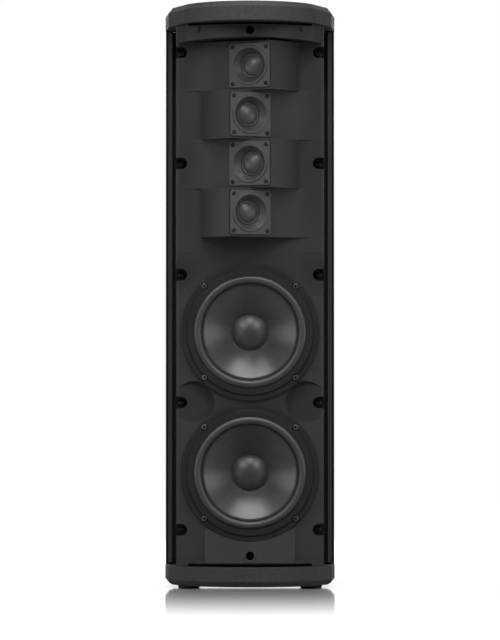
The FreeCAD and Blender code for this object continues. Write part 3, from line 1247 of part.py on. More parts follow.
def link_output():
    """Recessed three-pin plug connector."""
    face = PANEL_FACE_D + JACK_FLANGE
    bore = rod(LINK_X, JACK_Z, JACK_BORE_RADIUS, face - CONNECTOR_DEPTH, face + 1)
    pin_d = face - CONNECTOR_DEPTH - 1
    pins = [rod(x, z, PIN_RADIUS, pin_d, pin_d + PIN_LENGTH) for x, z in around(LINK_X, JACK_Z, PIN_CIRCLE)]
    return jack_blank(LINK_X).cut(bore).fuse(pins)


def mains_inlet():
    """Three-blade appliance inlet, bare of any cord."""
    face = PANEL_FACE_D + JACK_FLANGE
    half_w = INLET_CAVITY_WIDTH / 2
    half_h = INLET_CAVITY_HEIGHT / 2
    flange = box(INLET_X - INLET_WIDTH / 2, INLET_X + INLET_WIDTH / 2, PANEL_FACE_D, face,
                 INLET_Z - INLET_HEIGHT / 2, INLET_Z + INLET_HEIGHT / 2)
    body = box(INLET_X - half_w - 2, INLET_X + half_w + 2, face - INLET_CAVITY_DEPTH - 3, PANEL_FACE_D,
               INLET_Z - half_h - 2, INLET_Z + half_h + 2)
    cavity = box(INLET_X - half_w, INLET_X + half_w, face - INLET_CAVITY_DEPTH, face + 1,
                 INLET_Z - half_h, INLET_Z + half_h)
    blades = []
    for dx, dz in ((0, -7), (0, 7), (3.5, 0)):
        blades.append(box(INLET_X + dx - 1, INLET_X + dx + 1, face - INLET_CAVITY_DEPTH - 1,
                          face - INLET_CAVITY_DEPTH + INLET_PIN_LENGTH, INLET_Z + dz - 2, INLET_Z + dz + 2))
    return flange.fuse(body).cut(cavity).fuse(blades)


def switch_housing():
    face = PANEL_FACE_D + 1.5
    half_w = SWITCH_WIDTH / 2
    half_h = SWITCH_HEIGHT / 2
    flange = box(SWITCH_X - half_w - 2, SWITCH_X + half_w + 2, PANEL_FACE_D, face,
                 SWITCH_Z - half_h - 2, SWITCH_Z + half_h + 2)
    body = box(SWITCH_X - half_w, SWITCH_X + half_w, face - SWITCH_DEPTH, PANEL_FACE_D,
               SWITCH_Z - half_h, SWITCH_Z + half_h)
    cavity = box(SWITCH_X - half_w + 2, SWITCH_X + half_w - 2, face - SWITCH_DEPTH + 3, face + 1,
                 SWITCH_Z - half_h + 2, SWITCH_Z + half_h - 2)
    pin_hole = Part.makeCylinder(ROCKER_PIN_RADIUS + SHAFT_CLEARANCE, SWITCH_WIDTH - 2,
                                 V(SWITCH_X - half_w + 1, y_of(rocker_pivot_d()), SWITCH_Z), V(1, 0, 0))
    return flange.fuse(body).cut([cavity, pin_hole])


def rocker_pivot_d():
    return PANEL_FACE_D - 3.0


def power_rocker():
    """Two-sided key that tips about a pin across the switch; drawn level."""
    half_h = SWITCH_HEIGHT / 2 - 3
    half_w = SWITCH_WIDTH / 2 - 2.4
    pivot = rocker_pivot_d()
    right = [(-3, 4), (4.5, half_h), (6.5, half_h - 0.4), (4.8, 0)]
    outline = [(pivot + d, SWITCH_Z + z) for d, z in right]
    outline += [(pivot + d, SWITCH_Z - z) for d, z in reversed(right[:-1])]
    key = side_prism(outline, SWITCH_X - half_w, SWITCH_X + half_w)
    pin = Part.makeCylinder(ROCKER_PIN_RADIUS, SWITCH_WIDTH - 2.4,
                            V(SWITCH_X - SWITCH_WIDTH / 2 + 1.2, y_of(pivot), SWITCH_Z), V(1, 0, 0))
    return key.fuse(pin)


def amp_board():
    face = TRAY_FLOOR_D - STANDOFF_LENGTH
    board = box(-BOARD_HALF, BOARD_HALF, face - BOARD_THICKNESS, face, BOARD_BOTTOM_Z, BOARD_TOP_Z)
    chips = [box(x - 6, x + 6, face - BOARD_THICKNESS - 5, face - BOARD_THICKNESS,
                 BOARD_TOP_Z - 27, BOARD_TOP_Z - 12) for x in (-30, 0, 30)]
    holes = [rod(x, z, 1.5, face - 10, face + 1) for x, z in standoff_places()]
    return board.fuse(chips).cut(holes)


def standoff_places():
    return [(side * (BOARD_HALF - 5), z) for side in (1, -1) for z in (BOARD_BOTTOM_Z + 6, BOARD_TOP_Z - 6)]


def board_standoffs():
    front = TRAY_FLOOR_D - STANDOFF_LENGTH
    return [rod(x, z, STANDOFF_RADIUS, front, TRAY_FLOOR_D) for x, z in standoff_places()]


def power_supply():
    """Ring transformer on the amplifier board."""
    seat = TRAY_FLOOR_D - STANDOFF_LENGTH - BOARD_THICKNESS
    profile = [(9, 0), (TOROID_RADIUS - 4, 0), (TOROID_RADIUS, 4), (TOROID_RADIUS, TOROID_HEIGHT - 4),
               (TOROID_RADIUS - 4, TOROID_HEIGHT), (9, TOROID_HEIGHT)]
    return turned(profile, 0, BOARD_BOTTOM_Z + 50, seat - TOROID_HEIGHT)


def carry_handle():
    """Bar across the rear cup, with end plates on the cabinet's back."""
    rear = SHELL_REAR_D + HANDLE_PLATE
    low = HANDLE_Z - HANDLE_BAR_HALF_Z
    high = HANDLE_Z + HANDLE_BAR_HALF_Z
    plate = box(-HANDLE_END_X, HANDLE_END_X, SHELL_REAR_D, rear, low, high)
    bar_half = HANDLE_CUP_HALF_X - 1
    bar = box(-bar_half, bar_half, SHELL_REAR_D - HANDLE_BAR_DEPTH, SHELL_REAR_D + 1, low, high)
    long_edges = [e for e in bar.Edges if abs(e.CenterOfMass.y - y_of(SHELL_REAR_D - HANDLE_BAR_DEPTH)) < 1e-6
                  and abs(e.CenterOfMass.x) < 1e-6]
    bar = bar.makeFillet(HANDLE_EDGE, long_edges)
    holes = []
    for side in (1, -1):
        holes.append(rod(side * HANDLE_SCREW_X, HANDLE_Z, SHANK_RADIUS, SHELL_REAR_D - 1, rear + 1))
        holes.append(rod(side * HANDLE_SCREW_X, HANDLE_Z, HEAD_RADIUS + GAP, rear - HANDLE_SINK, rear + 1))
    return plate.fuse(bar).removeSplitter().cut(holes)


def insert_places():
    return [(side * INSERT_X, z) for side in (1, -1) for z in INSERT_Z]


def rigging_inserts():
    front = SHELL_REAR_D - INSERT_LENGTH
    inserts = []
    for x, z in insert_places():
        sleeve = rod(x, z, INSERT_RADIUS, front, SHELL_REAR_D)
        inserts.append(sleeve.cut(rod(x, z, INSERT_BORE, front - 1, SHELL_REAR_D + 1)))
    return inserts


def acoustic_wadding():
    inner_rear = SHELL_REAR_D - WALL
    low = HANDLE_Z + HANDLE_CUP_HALF_Z + TRAY_WALL + WADDING_MARGIN
    return box(-WADDING_HALF, WADDING_HALF, inner_rear - WADDING, inner_rear, low,
               SHELL_TOP - END_PANEL - WADDING_MARGIN)


# ---- Leads --------------------------------------------------------------------------------
def lead(points, radius):
    """Tube along straight runs joined by arcs of a given radius."""
    path = [V(x, y_of(d), z) for x, d, z in points]
    edges = []
    start = path[0]
    for before, corner, after in zip(path, path[1:], path[2:]):
        into = (corner - before).normalize()
        out = (after - corner).normalize()
        turn = into.getAngle(out)
        run = radius * math.tan(turn / 2)
        enter = corner - into * run
        leave = corner + out * run
        bisector = (out - into).normalize()
        middle = corner + bisector * (radius / math.cos(turn / 2) - radius)
        edges.append(Part.LineSegment(start, enter).toShape())
        edges.append(Part.Arc(enter, middle, leave).toShape())
        start = leave
    edges.append(Part.LineSegment(start, path[-1]).toShape())
    wire = Part.Wire(edges)
    first = (path[1] - path[0]).normalize()
    section = Part.Wire(Part.makeCircle(LEAD_RADIUS, path[0], first))
    return wire.makePipeShell([section], True, False)


def speaker_leads():
    """One lead from the amplifier board to each woofer basket and one up to the tweeters."""
    board_d = TRAY_FLOOR_D - STANDOFF_LENGTH - BOARD_THICKNESS - GAP
    low_z = WOOFER_Z[1]
    return [
        lead([(48, board_d, 250), (48, 170, 250), (62, 150, low_z), (62, 118, low_z)], 10),
        lead([(48, board_d, 330), (48, 168, 330), (62, 118, 320)], 10),
        lead([(-48, board_d, 330), (-48, 165, 330), (-48, 165, 610), (-30, 110, 628)], 10),
    ]


# ---- Build --------------------------------------------------------------------------------
os.makedirs("parts", exist_ok=True)

export("cabinet_shell", [cabinet_shell()])
export("side_rails", side_rails())
export("rail_end_pads", rail_end_pads())
export("top_cap", [top_cap()])
export("bottom_cap", [bottom_cap()])
export("cap_screws", cap_screws())
export("rubber_feet", rubber_feet())
export("foot_screws", foot_screws())
export("front_baffle", [front_baffle()])
export("baffle_gasket", [baffle_gasket()])
export("baffle_screws", baffle_screws())
export("pole_socket", [pole_socket()])
export("rigging_inserts", rigging_inserts())
export("carry_handle", [carry_handle()])
export("acoustic_wadding", [acoustic_wadding()])
for number, height in enumerate(WOOFER_Z, 1):
    prefix = "woofer_%d_" % number
    export(prefix + "basket", [basket(height)])
    export(prefix + "magnet", [magnet(height)])
    export(prefix + "trim", [trim_ring(height)])
    export(prefix + "surround", [surround(height)])
    export(prefix + "cone", [cone(height)])
    export(prefix + "dust_cap", [dust_cap(height)])
    export(prefix + "voice_coil", [voice_coil(height)])
    export(prefix + "spider", [spider(height)])
export("woofer_screws", woofer_screws())
for number in range(TWEETER_COUNT):
    prefix = "tweeter_%d_" % (number + 1)
    export(prefix + "frame", [tweeter_frame(number)])
    export(prefix + "magnet", [tweeter_magnet(number)])
    export(prefix + "dome", [tweeter_dome(number)])
export("tweeter_screws", tweeter_screws())
export("amp_panel", [amp_panel()])
export("rear_screws", rear_screws())
export("heat_sink", [heat_sink()])
export("amp_board", [amp_board()])
export("board_standoffs", board_standoffs())
export("power_supply", [power_supply()])
export("input_jack", [input_jack()])
export("latch_tab", [latch_tab()])
export("link_output", [link_output()])
export("level_knob", [level_knob()])
export("level_pot", [level_pot()])
export("mains_inlet", [mains_inlet()])
export("switch_housing", [switch_housing()])
export("power_rocker", [power_rocker()])
export("speaker_leads", speaker_leads())
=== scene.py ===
import bpy
import json
import math
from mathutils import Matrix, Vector

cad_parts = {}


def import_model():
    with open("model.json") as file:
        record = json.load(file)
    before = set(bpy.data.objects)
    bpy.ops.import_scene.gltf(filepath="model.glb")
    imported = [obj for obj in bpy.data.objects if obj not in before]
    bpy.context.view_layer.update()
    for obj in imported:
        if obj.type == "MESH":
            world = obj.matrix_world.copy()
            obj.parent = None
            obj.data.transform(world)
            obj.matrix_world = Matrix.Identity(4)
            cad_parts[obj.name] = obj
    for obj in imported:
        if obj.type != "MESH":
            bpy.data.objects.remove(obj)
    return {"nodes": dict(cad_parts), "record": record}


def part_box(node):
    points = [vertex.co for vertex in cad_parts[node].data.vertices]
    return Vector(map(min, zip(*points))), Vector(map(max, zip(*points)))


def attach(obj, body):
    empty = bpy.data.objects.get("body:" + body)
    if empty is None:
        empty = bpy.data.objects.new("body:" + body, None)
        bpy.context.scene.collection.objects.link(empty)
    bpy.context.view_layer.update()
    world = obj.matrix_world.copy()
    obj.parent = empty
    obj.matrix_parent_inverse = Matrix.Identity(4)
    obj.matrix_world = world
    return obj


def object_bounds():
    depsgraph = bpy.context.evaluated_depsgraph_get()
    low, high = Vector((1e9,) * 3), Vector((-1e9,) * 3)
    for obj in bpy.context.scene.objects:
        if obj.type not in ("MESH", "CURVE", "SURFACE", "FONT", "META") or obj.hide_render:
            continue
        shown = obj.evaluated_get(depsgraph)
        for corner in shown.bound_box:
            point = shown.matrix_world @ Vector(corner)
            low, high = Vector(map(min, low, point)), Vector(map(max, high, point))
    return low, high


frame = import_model()
cad_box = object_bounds()

# ---- Studio sizes, in metres and watts -----------------------------------------------------
CAMERA_DISTANCE = 5.1       # from the foremost point of the caps
CAMERA_HEIGHT = 0.191
CAMERA_PITCH = math.radians(1.466)
CAMERA_LENS = 241.9
# Each lamp: place, size, power. The last three stand in pairs, one each side.
TOP_LAMP = ((0, -0.42, 1.8), (1.5, 0.3), 8)
FRONT_LAMP = ((0, -1.35, 1.95), (0.7, 0.4), 9)
REAR_LAMP = ((0, 2.1, 1.1), (0.9, 1.0), 30)
KEY_LAMP = ((1.25, -1.95, 1.7), (0.75, 1.0), 12)
SIDE_LAMP = ((1.3, -0.35, 0.4), (0.8, 0.6), 1.8)
STRIP_LAMP = ((1.75, -1.95, 0.3), (0.2, 0.6), 2)
LAMP_TARGET = (0, -0.05, 0.38)
FLOOR_SIZE = 12.0
FLOOR_COLOUR = 0.30         # as it lights the object
FLOOR_SEEN = 0.42           # as the camera sees it
FLOOR_GLOW = (0.72, 1.0)    # near the object, lower there as painted shade, and far from it
GLOW_REACH = (0.2, 1.2)     # distances from the object's middle over which it changes
MIRROR_SHARE = 0.86         # the floor's gloss just in front of the object
MIRROR_REACH = (0.08, 1.10) # distances over which the gloss fades out
MIRROR_REAR = (-0.06, 0.10) # Y over which it ends under the object
MIRROR_ROUGHNESS = 0.06
BEYOND = 0.8                # mirror rays that head this straight to the rear see the white backdrop
WORLD_LIGHT = 0.12          # soft light from all round, under the lamps

# ---- Places where a material changes, in metres --------------------------------------------
WELL_SHADE_START = -0.031   # Y where the painted shade in the wells begins, and where it is darkest
WELL_SHADE_END = -0.024
RECESS_START = 0.0003       # behind the face of a woofer screw, where painted shade in its drive recess begins
RECESS_FADE = 0.0006

# ---- Sizes of the added pieces, in metres --------------------------------------------------
BEAD_RADIUS = 0.0573        # glue bead between a surround and its cone
BEAD_HALF_WIDTH = 0.0011
BEAD_RISE = 0.0005
BEAD_STEPS = 144
BEAD_PROFILE = [(-1.0, 0.0), (-0.7, 0.7), (0.0, 1.0), (0.7, 0.7), (1.0, 0.0), (0.0, -0.4)]
BEAD_SWELL = (0.10, 9)      # unevenness and how often it comes round
BEAD_RIPPLE = (0.06, 23)
DIAL_INNER = 0.0140
DIAL_OUTER = 0.0165
DIAL_ANGLES = range(-150, 151, 30)
PRINT_HALF_WIDTH = 0.0004
POINTER_HALF_WIDTH = 0.0006
PRINT_RISE = 0.00012
POINTER_REACH = (0.0035, 0.0095)


# ---- Material building blocks -------------------------------------------------------------
class Surface:
    """A Principled material with its node tree close at hand."""

    def __init__(self, name, roughness, metallic=0.0, specular=0.5, sheen=0.0):
        self.material = bpy.data.materials.new(name)
        self.material.use_nodes = True
        self.nodes = self.material.node_tree.nodes
        self.links = self.material.node_tree.links
        self.shader = self.nodes["Principled BSDF"]
        self.shader.inputs["Roughness"].default_value = roughness
        self.shader.inputs["Metallic"].default_value = metallic
        self.shader.inputs["Specular IOR Level"].default_value = specular
        self.shader.inputs["Sheen Weight"].default_value = sheen
        self.place = self.nodes.new("ShaderNodeTexCoord").outputs["Object"]

    def noise(self, scale, detail=3.0, rough=0.55):
        node = self.nodes.new("ShaderNodeTexNoise")
        node.inputs["Scale"].default_value = scale
        node.inputs["Detail"].default_value = detail
        node.inputs["Roughness"].default_value = rough
        self.links.new(self.place, node.inputs["Vector"])
        return node.outputs["Fac"]

    def ramp(self, value, low, high, start, end):
        """Map a value between start and end onto the range low to high."""
        node = self.nodes.new("ShaderNodeMapRange")
        node.inputs["From Min"].default_value = start
        node.inputs["From Max"].default_value = end
        node.inputs["To Min"].default_value = low
        node.inputs["To Max"].default_value = high
        self.links.new(value, node.inputs["Value"])
        return node.outputs["Result"]

    def multiply(self, a, b):
        node = self.nodes.new("ShaderNodeMath")
        node.operation = "MULTIPLY"
        self.links.new(a, node.inputs[0])
        self.links.new(b, node.inputs[1])
        return node.outputs[0]

    def depth(self):
        """The point's Y, which grows towards the rear of the object."""
        node = self.nodes.new("ShaderNodeSeparateXYZ")
        self.links.new(self.place, node.inputs[0])
        return node.outputs["Y"]

    def tint(self, colour, shade):
        """Base colour times a shade value."""
        node = self.nodes.new("ShaderNodeMix")
        node.data_type = "RGBA"
        node.blend_type = "MULTIPLY"
        node.inputs["Factor"].default_value = 1.0
        node.inputs["A"].default_value = (*colour, 1.0)
        self.links.new(shade, node.inputs["B"])
        self.links.new(node.outputs["Result"], self.shader.inputs["Base Color"])

    def rough(self, value):
        self.links.new(value, self.shader.inputs["Roughness"])

    def relief(self, height, distance, strength=1.0, edge_radius=0.0):
        """Bump from a height value over edges rounded by edge_radius."""
        bump = self.nodes.new("ShaderNodeBump")
        bump.inputs["Distance"].default_value = distance
        bump.inputs["Strength"].default_value = strength
        self.links.new(height, bump.inputs["Height"])
        if edge_radius:
            bevel = self.nodes.new("ShaderNodeBevel")
            bevel.samples = 4
            bevel.inputs["Radius"].default_value = edge_radius
            self.links.new(bevel.outputs["Normal"], bump.inputs["Normal"])
        self.links.new(bump.outputs["Normal"], self.shader.inputs["Normal"])


def grey(value, warmth=0.0):
    """A near-neutral grey; positive warmth leans to red, negative to blue."""
    return (value * (1 + warmth), value, value * (1 - warmth))


def textured_coat(name, value, roughness=0.62, grain=650.0, depth=0.0003):
    """Sprayed or moulded fine texture: small pebbles, speckle and a little handling wear."""
    surface = Surface(name, roughness, specular=0.45)
    pebbles = surface.noise(grain, 2.0, 0.6)
    patches = surface.noise(9.0, 4.0)
    speckle = surface.ramp(pebbles, 0.6, 1.4, 0.3, 0.7)
    cloud = surface.ramp(patches, 0.95, 1.05, 0.3, 0.7)
    surface.tint(grey(value, -0.015), surface.multiply(speckle, cloud))
    surface.rough(surface.ramp(patches, roughness - 0.05, roughness + 0.07, 0.3, 0.7))
    surface.relief(pebbles, depth, 0.8, 0.0008)
    return surface.material


def painted_well_shade(surface, shade):
    """Painted shade: darken the baffle's wells and slots towards their bottoms."""
    falloff = surface.ramp(surface.depth(), 1.0, 0.2, WELL_SHADE_START, WELL_SHADE_END)
    return surface.multiply(shade, falloff)


def moulded_plastic(name, value, roughness=0.45, edge_radius=0.0006, specular=0.4, paint_well_shade=False,
                    polish=0.0):
    """Satin moulding: a very fine spark-eroded grain, faint flow marks and finger smears.

    Polish, from 0 to 1, takes the grain and the smears away.
    """
    surface = Surface(name, roughness, specular=specular)
    grain = surface.noise(2600.0, 2.0, 0.6)
    flow = surface.noise(14.0, 5.0, 0.6)
    shade = surface.multiply(surface.ramp(grain, 0.93, 1.07, 0.35, 0.65),
                             surface.ramp(flow, 0.94, 1.06, 0.3, 0.7))
    # When asked for, painted shade darkens the bottoms of the wells.
    surface.tint(grey(value, -0.02), painted_well_shade(surface, shade) if paint_well_shade else shade)
    rest = 1 - polish
    surface.rough(surface.ramp(flow, roughness - 0.06 * rest, roughness + 0.08 * rest, 0.3, 0.7))
    surface.relief(grain, 0.00005 * rest, 0.5, edge_radius)
    return surface.material


def rubber(name, value, roughness=0.5):
    """Dense rubber: soft sheen, tiny pores and dusty patches."""
    surface = Surface(name, roughness, specular=0.7)
    pores = surface.noise(1800.0, 2.0)
    dust = surface.noise(45.0, 5.0)
    surface.tint(grey(value, -0.01), surface.multiply(surface.ramp(pores, 0.9, 1.1, 0.35, 0.65),
                                                      surface.ramp(dust, 0.96, 1.05, 0.35, 0.65)))
    surface.rough(surface.ramp(dust, roughness - 0.02, roughness + 0.04, 0.35, 0.65))
    surface.relief(pores, 0.00002, 0.5)
    return surface.material


def coated_pulp(name, value, roughness, metallic=0.0):
    """Pressed paper cone: matted fibres under a thin sealing coat."""
    surface = Surface(name, roughness, metallic, specular=0.9)
    fibres = surface.noise(520.0, 6.0, 0.7)
    mottle = surface.noise(60.0, 4.0)
    surface.tint(grey(value, -0.02), surface.multiply(surface.ramp(fibres, 0.94, 1.06, 0.35, 0.65),
                                                      surface.ramp(mottle, 0.94, 1.06, 0.35, 0.65)))
    surface.rough(surface.ramp(mottle, roughness - 0.01, roughness + 0.02, 0.35, 0.65))
    surface.relief(fibres, 0.000002, 0.5)
    return surface.material


def coated_cloth(name, value, roughness=0.4):
    """Doped silk: a fine weave that shows through a glossy damping coat."""
    surface = Surface(name, roughness, specular=0.9)
    warp = surface.nodes.new("ShaderNodeTexWave")
    warp.inputs["Scale"].default_value = 900.0
    warp.bands_direction = "X"
    weft = surface.nodes.new("ShaderNodeTexWave")
    weft.inputs["Scale"].default_value = 900.0
    weft.bands_direction = "Z"
    surface.links.new(surface.place, warp.inputs["Vector"])
    surface.links.new(surface.place, weft.inputs["Vector"])
    weave = surface.multiply(warp.outputs["Fac"], weft.outputs["Fac"])
    surface.tint(grey(value), surface.ramp(weave, 0.85, 1.15, 0.0, 1.0))
    surface.relief(weave, 0.00001, 0.5)
    return surface.material


def metal(name, value, roughness=0.35, warmth=0.0, recess=None):
    """Bare, plated or blackened metal with drawn marks and slight tarnish.

    Recess is the Y where painted shade in a screw head's drive recess begins.
    """
    surface = Surface(name, roughness, metallic=1.0)
    marks = surface.noise(700.0, 4.0, 0.6)
    tarnish = surface.noise(70.0, 4.0)
    shade = surface.multiply(surface.ramp(marks, 0.88, 1.12, 0.35, 0.65),
                             surface.ramp(tarnish, 0.88, 1.08, 0.35, 0.65))
    if recess is not None:
        # Painted shade: darker with depth into the drive recess.
        painted_recess_shade = surface.ramp(surface.depth(), 1.0, 0.1, recess, recess + RECESS_FADE)
        shade = surface.multiply(shade, painted_recess_shade)
    surface.tint(grey(value, warmth), shade)
    surface.rough(surface.ramp(tarnish, roughness - 0.07, roughness + 0.12, 0.35, 0.65))
    surface.relief(marks, 0.00004, 0.5, 0.0003)
    return surface.material


def fibrous(name, colour, scale=260.0):
    """Felt, foam or wadding."""
    surface = Surface(name, 0.95, specular=0.1, sheen=0.4)
    fibres = surface.noise(scale, 8.0, 0.75)
    surface.tint(colour, surface.ramp(fibres, 0.65, 1.25, 0.3, 0.7))
    surface.relief(fibres, 0.0015, 0.9)
    return surface.material


def coloured_moulding(name, colour, roughness=0.4):
    """Lacquered board or wrapped winding, with fine flow marks."""
    surface = Surface(name, roughness)
    flow = surface.noise(90.0, 4.0)
    surface.tint(colour, surface.ramp(flow, 0.85, 1.15, 0.3, 0.7))
    surface.relief(flow, 0.0001, 0.4, 0.0003)
    return surface.material


# ---- Materials by record slot -------------------------------------------------------------
SLOTS = {
    "cabinet_paint": textured_coat("cabinet_paint", 0.055),
    "cap_plastic": textured_coat("cap_plastic", 0.049),
    # The baffle's wells get painted shade.
    "baffle_plastic": moulded_plastic("baffle_plastic", 0.033, 0.42, paint_well_shade=True),
    "rail_plastic": moulded_plastic("rail_plastic", 0.055),
    "black_plastic": moulded_plastic("black_plastic", 0.016, 0.5),
    "basket_metal": moulded_plastic("basket_metal", 0.022, 0.38, edge_radius=0.0006),
    "surround_rubber": rubber("surround_rubber", 0.055, 0.36),
    "cone_paper": coated_pulp("cone_paper", 0.12, 0.32, 0.6),
    "dust_cap_paper": coated_pulp("dust_cap_paper", 0.09, 0.38, 0.6),
    "plate_plastic": moulded_plastic("plate_plastic", 0.050, 0.40, edge_radius=0.0003, specular=0.9,
                                     polish=1.0),
    "dome_silk": coated_cloth("dome_silk", 0.062, 0.40),
    "ferrite": moulded_plastic("ferrite", 0.035, 0.6),
    "coil_copper": metal("coil_copper", 0.45, 0.35, 0.4),
    "spider_cloth": fibrous("spider_cloth", (0.42, 0.30, 0.13), 900.0),
    "screw_steel": metal("screw_steel", 0.05, 0.4),
    "light_screw": metal("light_screw", 0.16, 0.5, recess=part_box("woofer_screws")[0][1] + RECESS_START),
    "foot_rubber": rubber("foot_rubber", 0.022, 0.7),
    "foam": fibrous("foam", (0.02, 0.02, 0.02), 700.0),
    "wadding": fibrous("wadding", (0.72, 0.72, 0.70)),
    "panel_metal": textured_coat("panel_metal", 0.022, 0.55, 2200.0, 0.0001),
    "sink_aluminium": metal("sink_aluminium", 0.055, 0.45),
    "socket_metal": textured_coat("socket_metal", 0.025, 0.5, 2200.0, 0.0001),
    "insert_brass": metal("insert_brass", 0.50, 0.35, 0.3),
    "board_green": coloured_moulding("board_green", (0.02, 0.12, 0.05)),
    "toroid_wrap": coloured_moulding("toroid_wrap", (0.03, 0.04, 0.12), 0.25),
    "knob_plastic": moulded_plastic("knob_plastic", 0.024, 0.6),
    "tab_plastic": moulded_plastic("tab_plastic", 0.22, 0.45),
    "lead_sheath": rubber("lead_sheath", 0.02, 0.45),
}


def dress_nodes():
    """Give every node of the frame the material of its slot."""
    for part in frame["record"]["subparts"]:
        node = frame["nodes"][part["node"]]
        for slot in node.material_slots:
            slot.material = SLOTS[part["material_slot"]]


# ---- Added pieces -------------------------------------------------------------------------
def new_piece(name, points, faces, material, body, smooth=False):
    mesh = bpy.data.meshes.new(name)
    mesh.from_pydata(points, [], faces)
    mesh.update()
    mesh.materials.append(material)
    if smooth:
        mesh.shade_smooth()
    piece = bpy.data.objects.new(name, mesh)
    bpy.context.scene.collection.objects.link(piece)
    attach(piece, body)
    return piece


def glue_bead(number, material):
    """Slightly uneven bead of adhesive where the surround meets the cone."""
    low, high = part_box(f"woofer_{number}_surround")
    centre_z = (low[2] + high[2]) / 2
    vertices = frame["nodes"][f"woofer_{number}_surround"].data.vertices
    lip_y = min(v.co.y for v in vertices if math.hypot(v.co.x, v.co.z - centre_z) < BEAD_RADIUS)
    points = []
    faces = []
    for step in range(BEAD_STEPS):
        angle = 2 * math.pi * step / BEAD_STEPS
        swell = 1 + BEAD_SWELL[0] * math.sin(BEAD_SWELL[1] * angle + number)
        swell += BEAD_RIPPLE[0] * math.sin(BEAD_RIPPLE[1] * angle)
        for across, rise in BEAD_PROFILE:
            radius = BEAD_RADIUS + across * BEAD_HALF_WIDTH * swell
            points.append((radius * math.sin(angle), lip_y - rise * BEAD_RISE * swell,
                           centre_z + radius * math.cos(angle)))
    count = len(BEAD_PROFILE)
    for step in range(BEAD_STEPS):
        here = step * count
        there = (step + 1) % BEAD_STEPS * count
        for i in range(count):
            j = (i + 1) % count
            faces.append((here + i, here + j, there + j, there + i))
    new_piece(f"glue_bead_{number}", points, faces, material, f"woofer_{number}_cone_body", smooth=True)


def add_bar(points, faces, start, end, y, half_width):
    """Thin raised print line on a face that looks to the rear, from start to end in X and Z."""
    along = (Vector(end) - Vector(start)).normalized() * half_width
    side = Vector((-along.y, along.x))
    first = len(points)
    for rise in (-PRINT_RISE, PRINT_RISE):
        for place, shift in ((start, side), (end, side), (end, -side), (start, -side)):
            points.append((place[0] + shift.x, y + rise, place[1] + shift.y))
    for face in ((0, 1, 2, 3), (7, 6, 5, 4), (0, 4, 5, 1), (1, 5, 6, 2), (2, 6, 7, 3), (3, 7, 4, 0)):
        faces.append(tuple(first + i for i in face))


def dial_marks(material):
    """Plain scale round the level knob and a pointer line on the knob."""
    low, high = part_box("level_knob")
    centre = Vector(((low[0] + high[0]) / 2, (low[2] + high[2]) / 2))
    panel_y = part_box("amp_panel")[1][1]
    points = []
    faces = []
    for degrees in DIAL_ANGLES:
        ray = Vector((math.sin(math.radians(degrees)), math.cos(math.radians(degrees))))
        start = centre + ray * DIAL_INNER
        end = centre + ray * DIAL_OUTER
        add_bar(points, faces, start, end, panel_y, PRINT_HALF_WIDTH)
    new_piece("dial_marks", points, faces, material, "cabinet")
    points = []
    faces = []
    up = Vector((0, 1))
    start, end = (centre + up * reach for reach in POINTER_REACH)
    add_bar(points, faces, start, end, high[1], POINTER_HALF_WIDTH)
    new_piece("knob_pointer", points, faces, material, "knob")


def added_pieces():
    adhesive = rubber("adhesive", 0.008, 0.6)
    for number in (1, 2):
        glue_bead(number, adhesive)
    dial_marks(moulded_plastic("white_print", 0.6, 0.6, edge_radius=0.0))


# ---- Studio -------------------------------------------------------------------------------
def area_lamp(name, place, size, power):
    lamp = bpy.data.lights.new(name, "AREA")
    lamp.shape = "RECTANGLE"
    lamp.size = size[0]
    lamp.size_y = size[1]
    lamp.energy = power
    holder = bpy.data.objects.new(name, lamp)
    holder.location = place
    holder.rotation_euler = (Vector(LAMP_TARGET) - Vector(place)).to_track_quat("-Z", "Y").to_euler()
    bpy.context.scene.collection.objects.link(holder)


def fade(nodes, links, value, reach, low, high):
    """Smooth change from low at the start of the reach to high at its end."""
    node = nodes.new("ShaderNodeMapRange")
    node.interpolation_type = "SMOOTHSTEP"
    node.inputs["From Min"].default_value = reach[0]
    node.inputs["From Max"].default_value = reach[1]
    node.inputs["To Min"].default_value = low
    node.inputs["To Max"].default_value = high
    links.new(value, node.inputs["Value"])
    return node.outputs["Result"]


def product(nodes, links, first, second):
    node = nodes.new("ShaderNodeMath")
    node.operation = "MULTIPLY"
    links.new(first, node.inputs[0])
    links.new(second, node.inputs[1])
    return node.outputs[0]


def camera_glow(nodes, links, base, distance, seen):
    """Base shader, plus a glow that only camera rays see, dimmer near the object as painted shade."""
    level = fade(nodes, links, distance, GLOW_REACH, *FLOOR_GLOW)
    glow = nodes.new("ShaderNodeEmission")
    links.new(product(nodes, links, level, seen), glow.inputs["Strength"])
    total = nodes.new("ShaderNodeAddShader")
    links.new(base, total.inputs[0])
    links.new(glow.outputs[0], total.inputs[1])
    return total.outputs[0]


def fading_mirror(nodes, links, base, distance, seen, rearward):
    """Base shader, with a mirror image of the object's front that fades out towards the camera."""
    gloss = nodes.new("ShaderNodeBsdfAnisotropic")
    gloss.inputs["Color"].default_value = (1, 1, 1, 1)
    gloss.inputs["Roughness"].default_value = MIRROR_ROUGHNESS
    share = product(nodes, links, fade(nodes, links, distance, MIRROR_REACH, MIRROR_SHARE, 0.0),
                    fade(nodes, links, rearward, MIRROR_REAR, 1.0, 0.0))
    mix = nodes.new("ShaderNodeMixShader")
    links.new(product(nodes, links, share, seen), mix.inputs["Fac"])
    links.new(base, mix.inputs[1])
    links.new(gloss.outputs[0], mix.inputs[2])
    return mix.outputs[0]


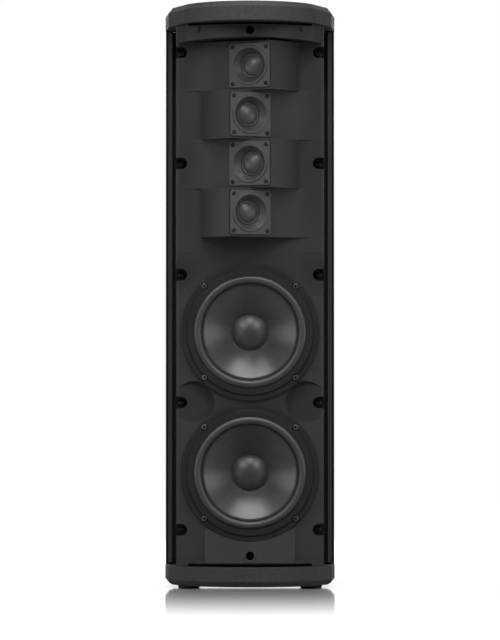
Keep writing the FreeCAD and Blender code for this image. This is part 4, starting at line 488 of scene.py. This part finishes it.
def floor():
    """Pale floor that keeps the object's shadow."""
    bpy.ops.mesh.primitive_plane_add(size=FLOOR_SIZE, location=(0, 0, 0))
    plane = bpy.context.object
    plane.name = "floor"
    material = bpy.data.materials.new("floor")
    material.use_nodes = True
    nodes = material.node_tree.nodes
    links = material.node_tree.links
    shader = nodes["Principled BSDF"]
    seen = nodes.new("ShaderNodeLightPath").outputs["Is Camera Ray"]
    colour = nodes.new("ShaderNodeMapRange")
    colour.inputs["To Min"].default_value = FLOOR_COLOUR
    colour.inputs["To Max"].default_value = FLOOR_SEEN
    links.new(seen, colour.inputs["Value"])
    links.new(colour.outputs["Result"], shader.inputs["Base Color"])
    shader.inputs["Roughness"].default_value = 0.9
    shader.inputs["Specular IOR Level"].default_value = 0.0
    place = nodes.new("ShaderNodeTexCoord").outputs["Object"]
    length = nodes.new("ShaderNodeVectorMath")
    length.operation = "LENGTH"
    links.new(place, length.inputs[0])
    distance = length.outputs["Value"]
    axes = nodes.new("ShaderNodeSeparateXYZ")
    links.new(place, axes.inputs[0])
    glowing = camera_glow(nodes, links, shader.outputs[0], distance, seen)
    mirrored = fading_mirror(nodes, links, glowing, distance, seen, axes.outputs["Y"])
    links.new(mirrored, nodes["Material Output"].inputs["Surface"])
    plane.data.materials.append(material)


def world():
    """White to the camera, soft grey light to everything else."""
    scene_world = bpy.data.worlds.new("studio")
    bpy.context.scene.world = scene_world
    scene_world.use_nodes = True
    nodes = scene_world.node_tree.nodes
    links = scene_world.node_tree.links
    background = nodes["Background"]
    path = nodes.new("ShaderNodeLightPath")
    way = nodes.new("ShaderNodeTexCoord")
    axes = nodes.new("ShaderNodeSeparateXYZ")
    links.new(way.outputs["Generated"], axes.inputs[0])
    beyond = nodes.new("ShaderNodeMath")
    beyond.operation = "GREATER_THAN"
    beyond.inputs[1].default_value = BEYOND
    links.new(axes.outputs["Y"], beyond.inputs[0])
    mirrored = nodes.new("ShaderNodeMath")
    mirrored.operation = "MULTIPLY"
    links.new(beyond.outputs[0], mirrored.inputs[0])
    links.new(path.outputs["Is Glossy Ray"], mirrored.inputs[1])
    white = nodes.new("ShaderNodeMath")
    white.operation = "MAXIMUM"
    links.new(mirrored.outputs[0], white.inputs[0])
    links.new(path.outputs["Is Camera Ray"], white.inputs[1])
    seen = nodes.new("ShaderNodeMapRange")
    seen.inputs["To Min"].default_value = WORLD_LIGHT
    seen.inputs["To Max"].default_value = 1.0
    links.new(white.outputs[0], seen.inputs["Value"])
    links.new(seen.outputs["Result"], background.inputs["Strength"])
    background.inputs["Color"].default_value = (1, 1, 1, 1)


def camera():
    lens = bpy.data.cameras.new("camera")
    lens.lens = CAMERA_LENS
    lens.clip_end = 50.0
    holder = bpy.data.objects.new("camera", lens)
    front = cad_box[0][1]
    holder.location = (0, front - CAMERA_DISTANCE, CAMERA_HEIGHT)
    holder.rotation_euler = (math.pi / 2 + CAMERA_PITCH, 0, 0)
    bpy.context.scene.collection.objects.link(holder)
    bpy.context.scene.camera = holder


def studio():
    floor()
    world()
    area_lamp("top_lamp", *TOP_LAMP)
    area_lamp("front_lamp", *FRONT_LAMP)
    area_lamp("rear_lamp", *REAR_LAMP)
    pairs = {"key_lamp": KEY_LAMP, "side_lamp": SIDE_LAMP, "strip_lamp": STRIP_LAMP}
    for name, ((x, y, z), size, power) in pairs.items():
        for side in (-1, 1):
            area_lamp(name, (side * x, y, z), size, power)
    camera()
    bpy.context.scene.view_settings.view_transform = "Standard"


dress_nodes()
added_pieces()
studio()
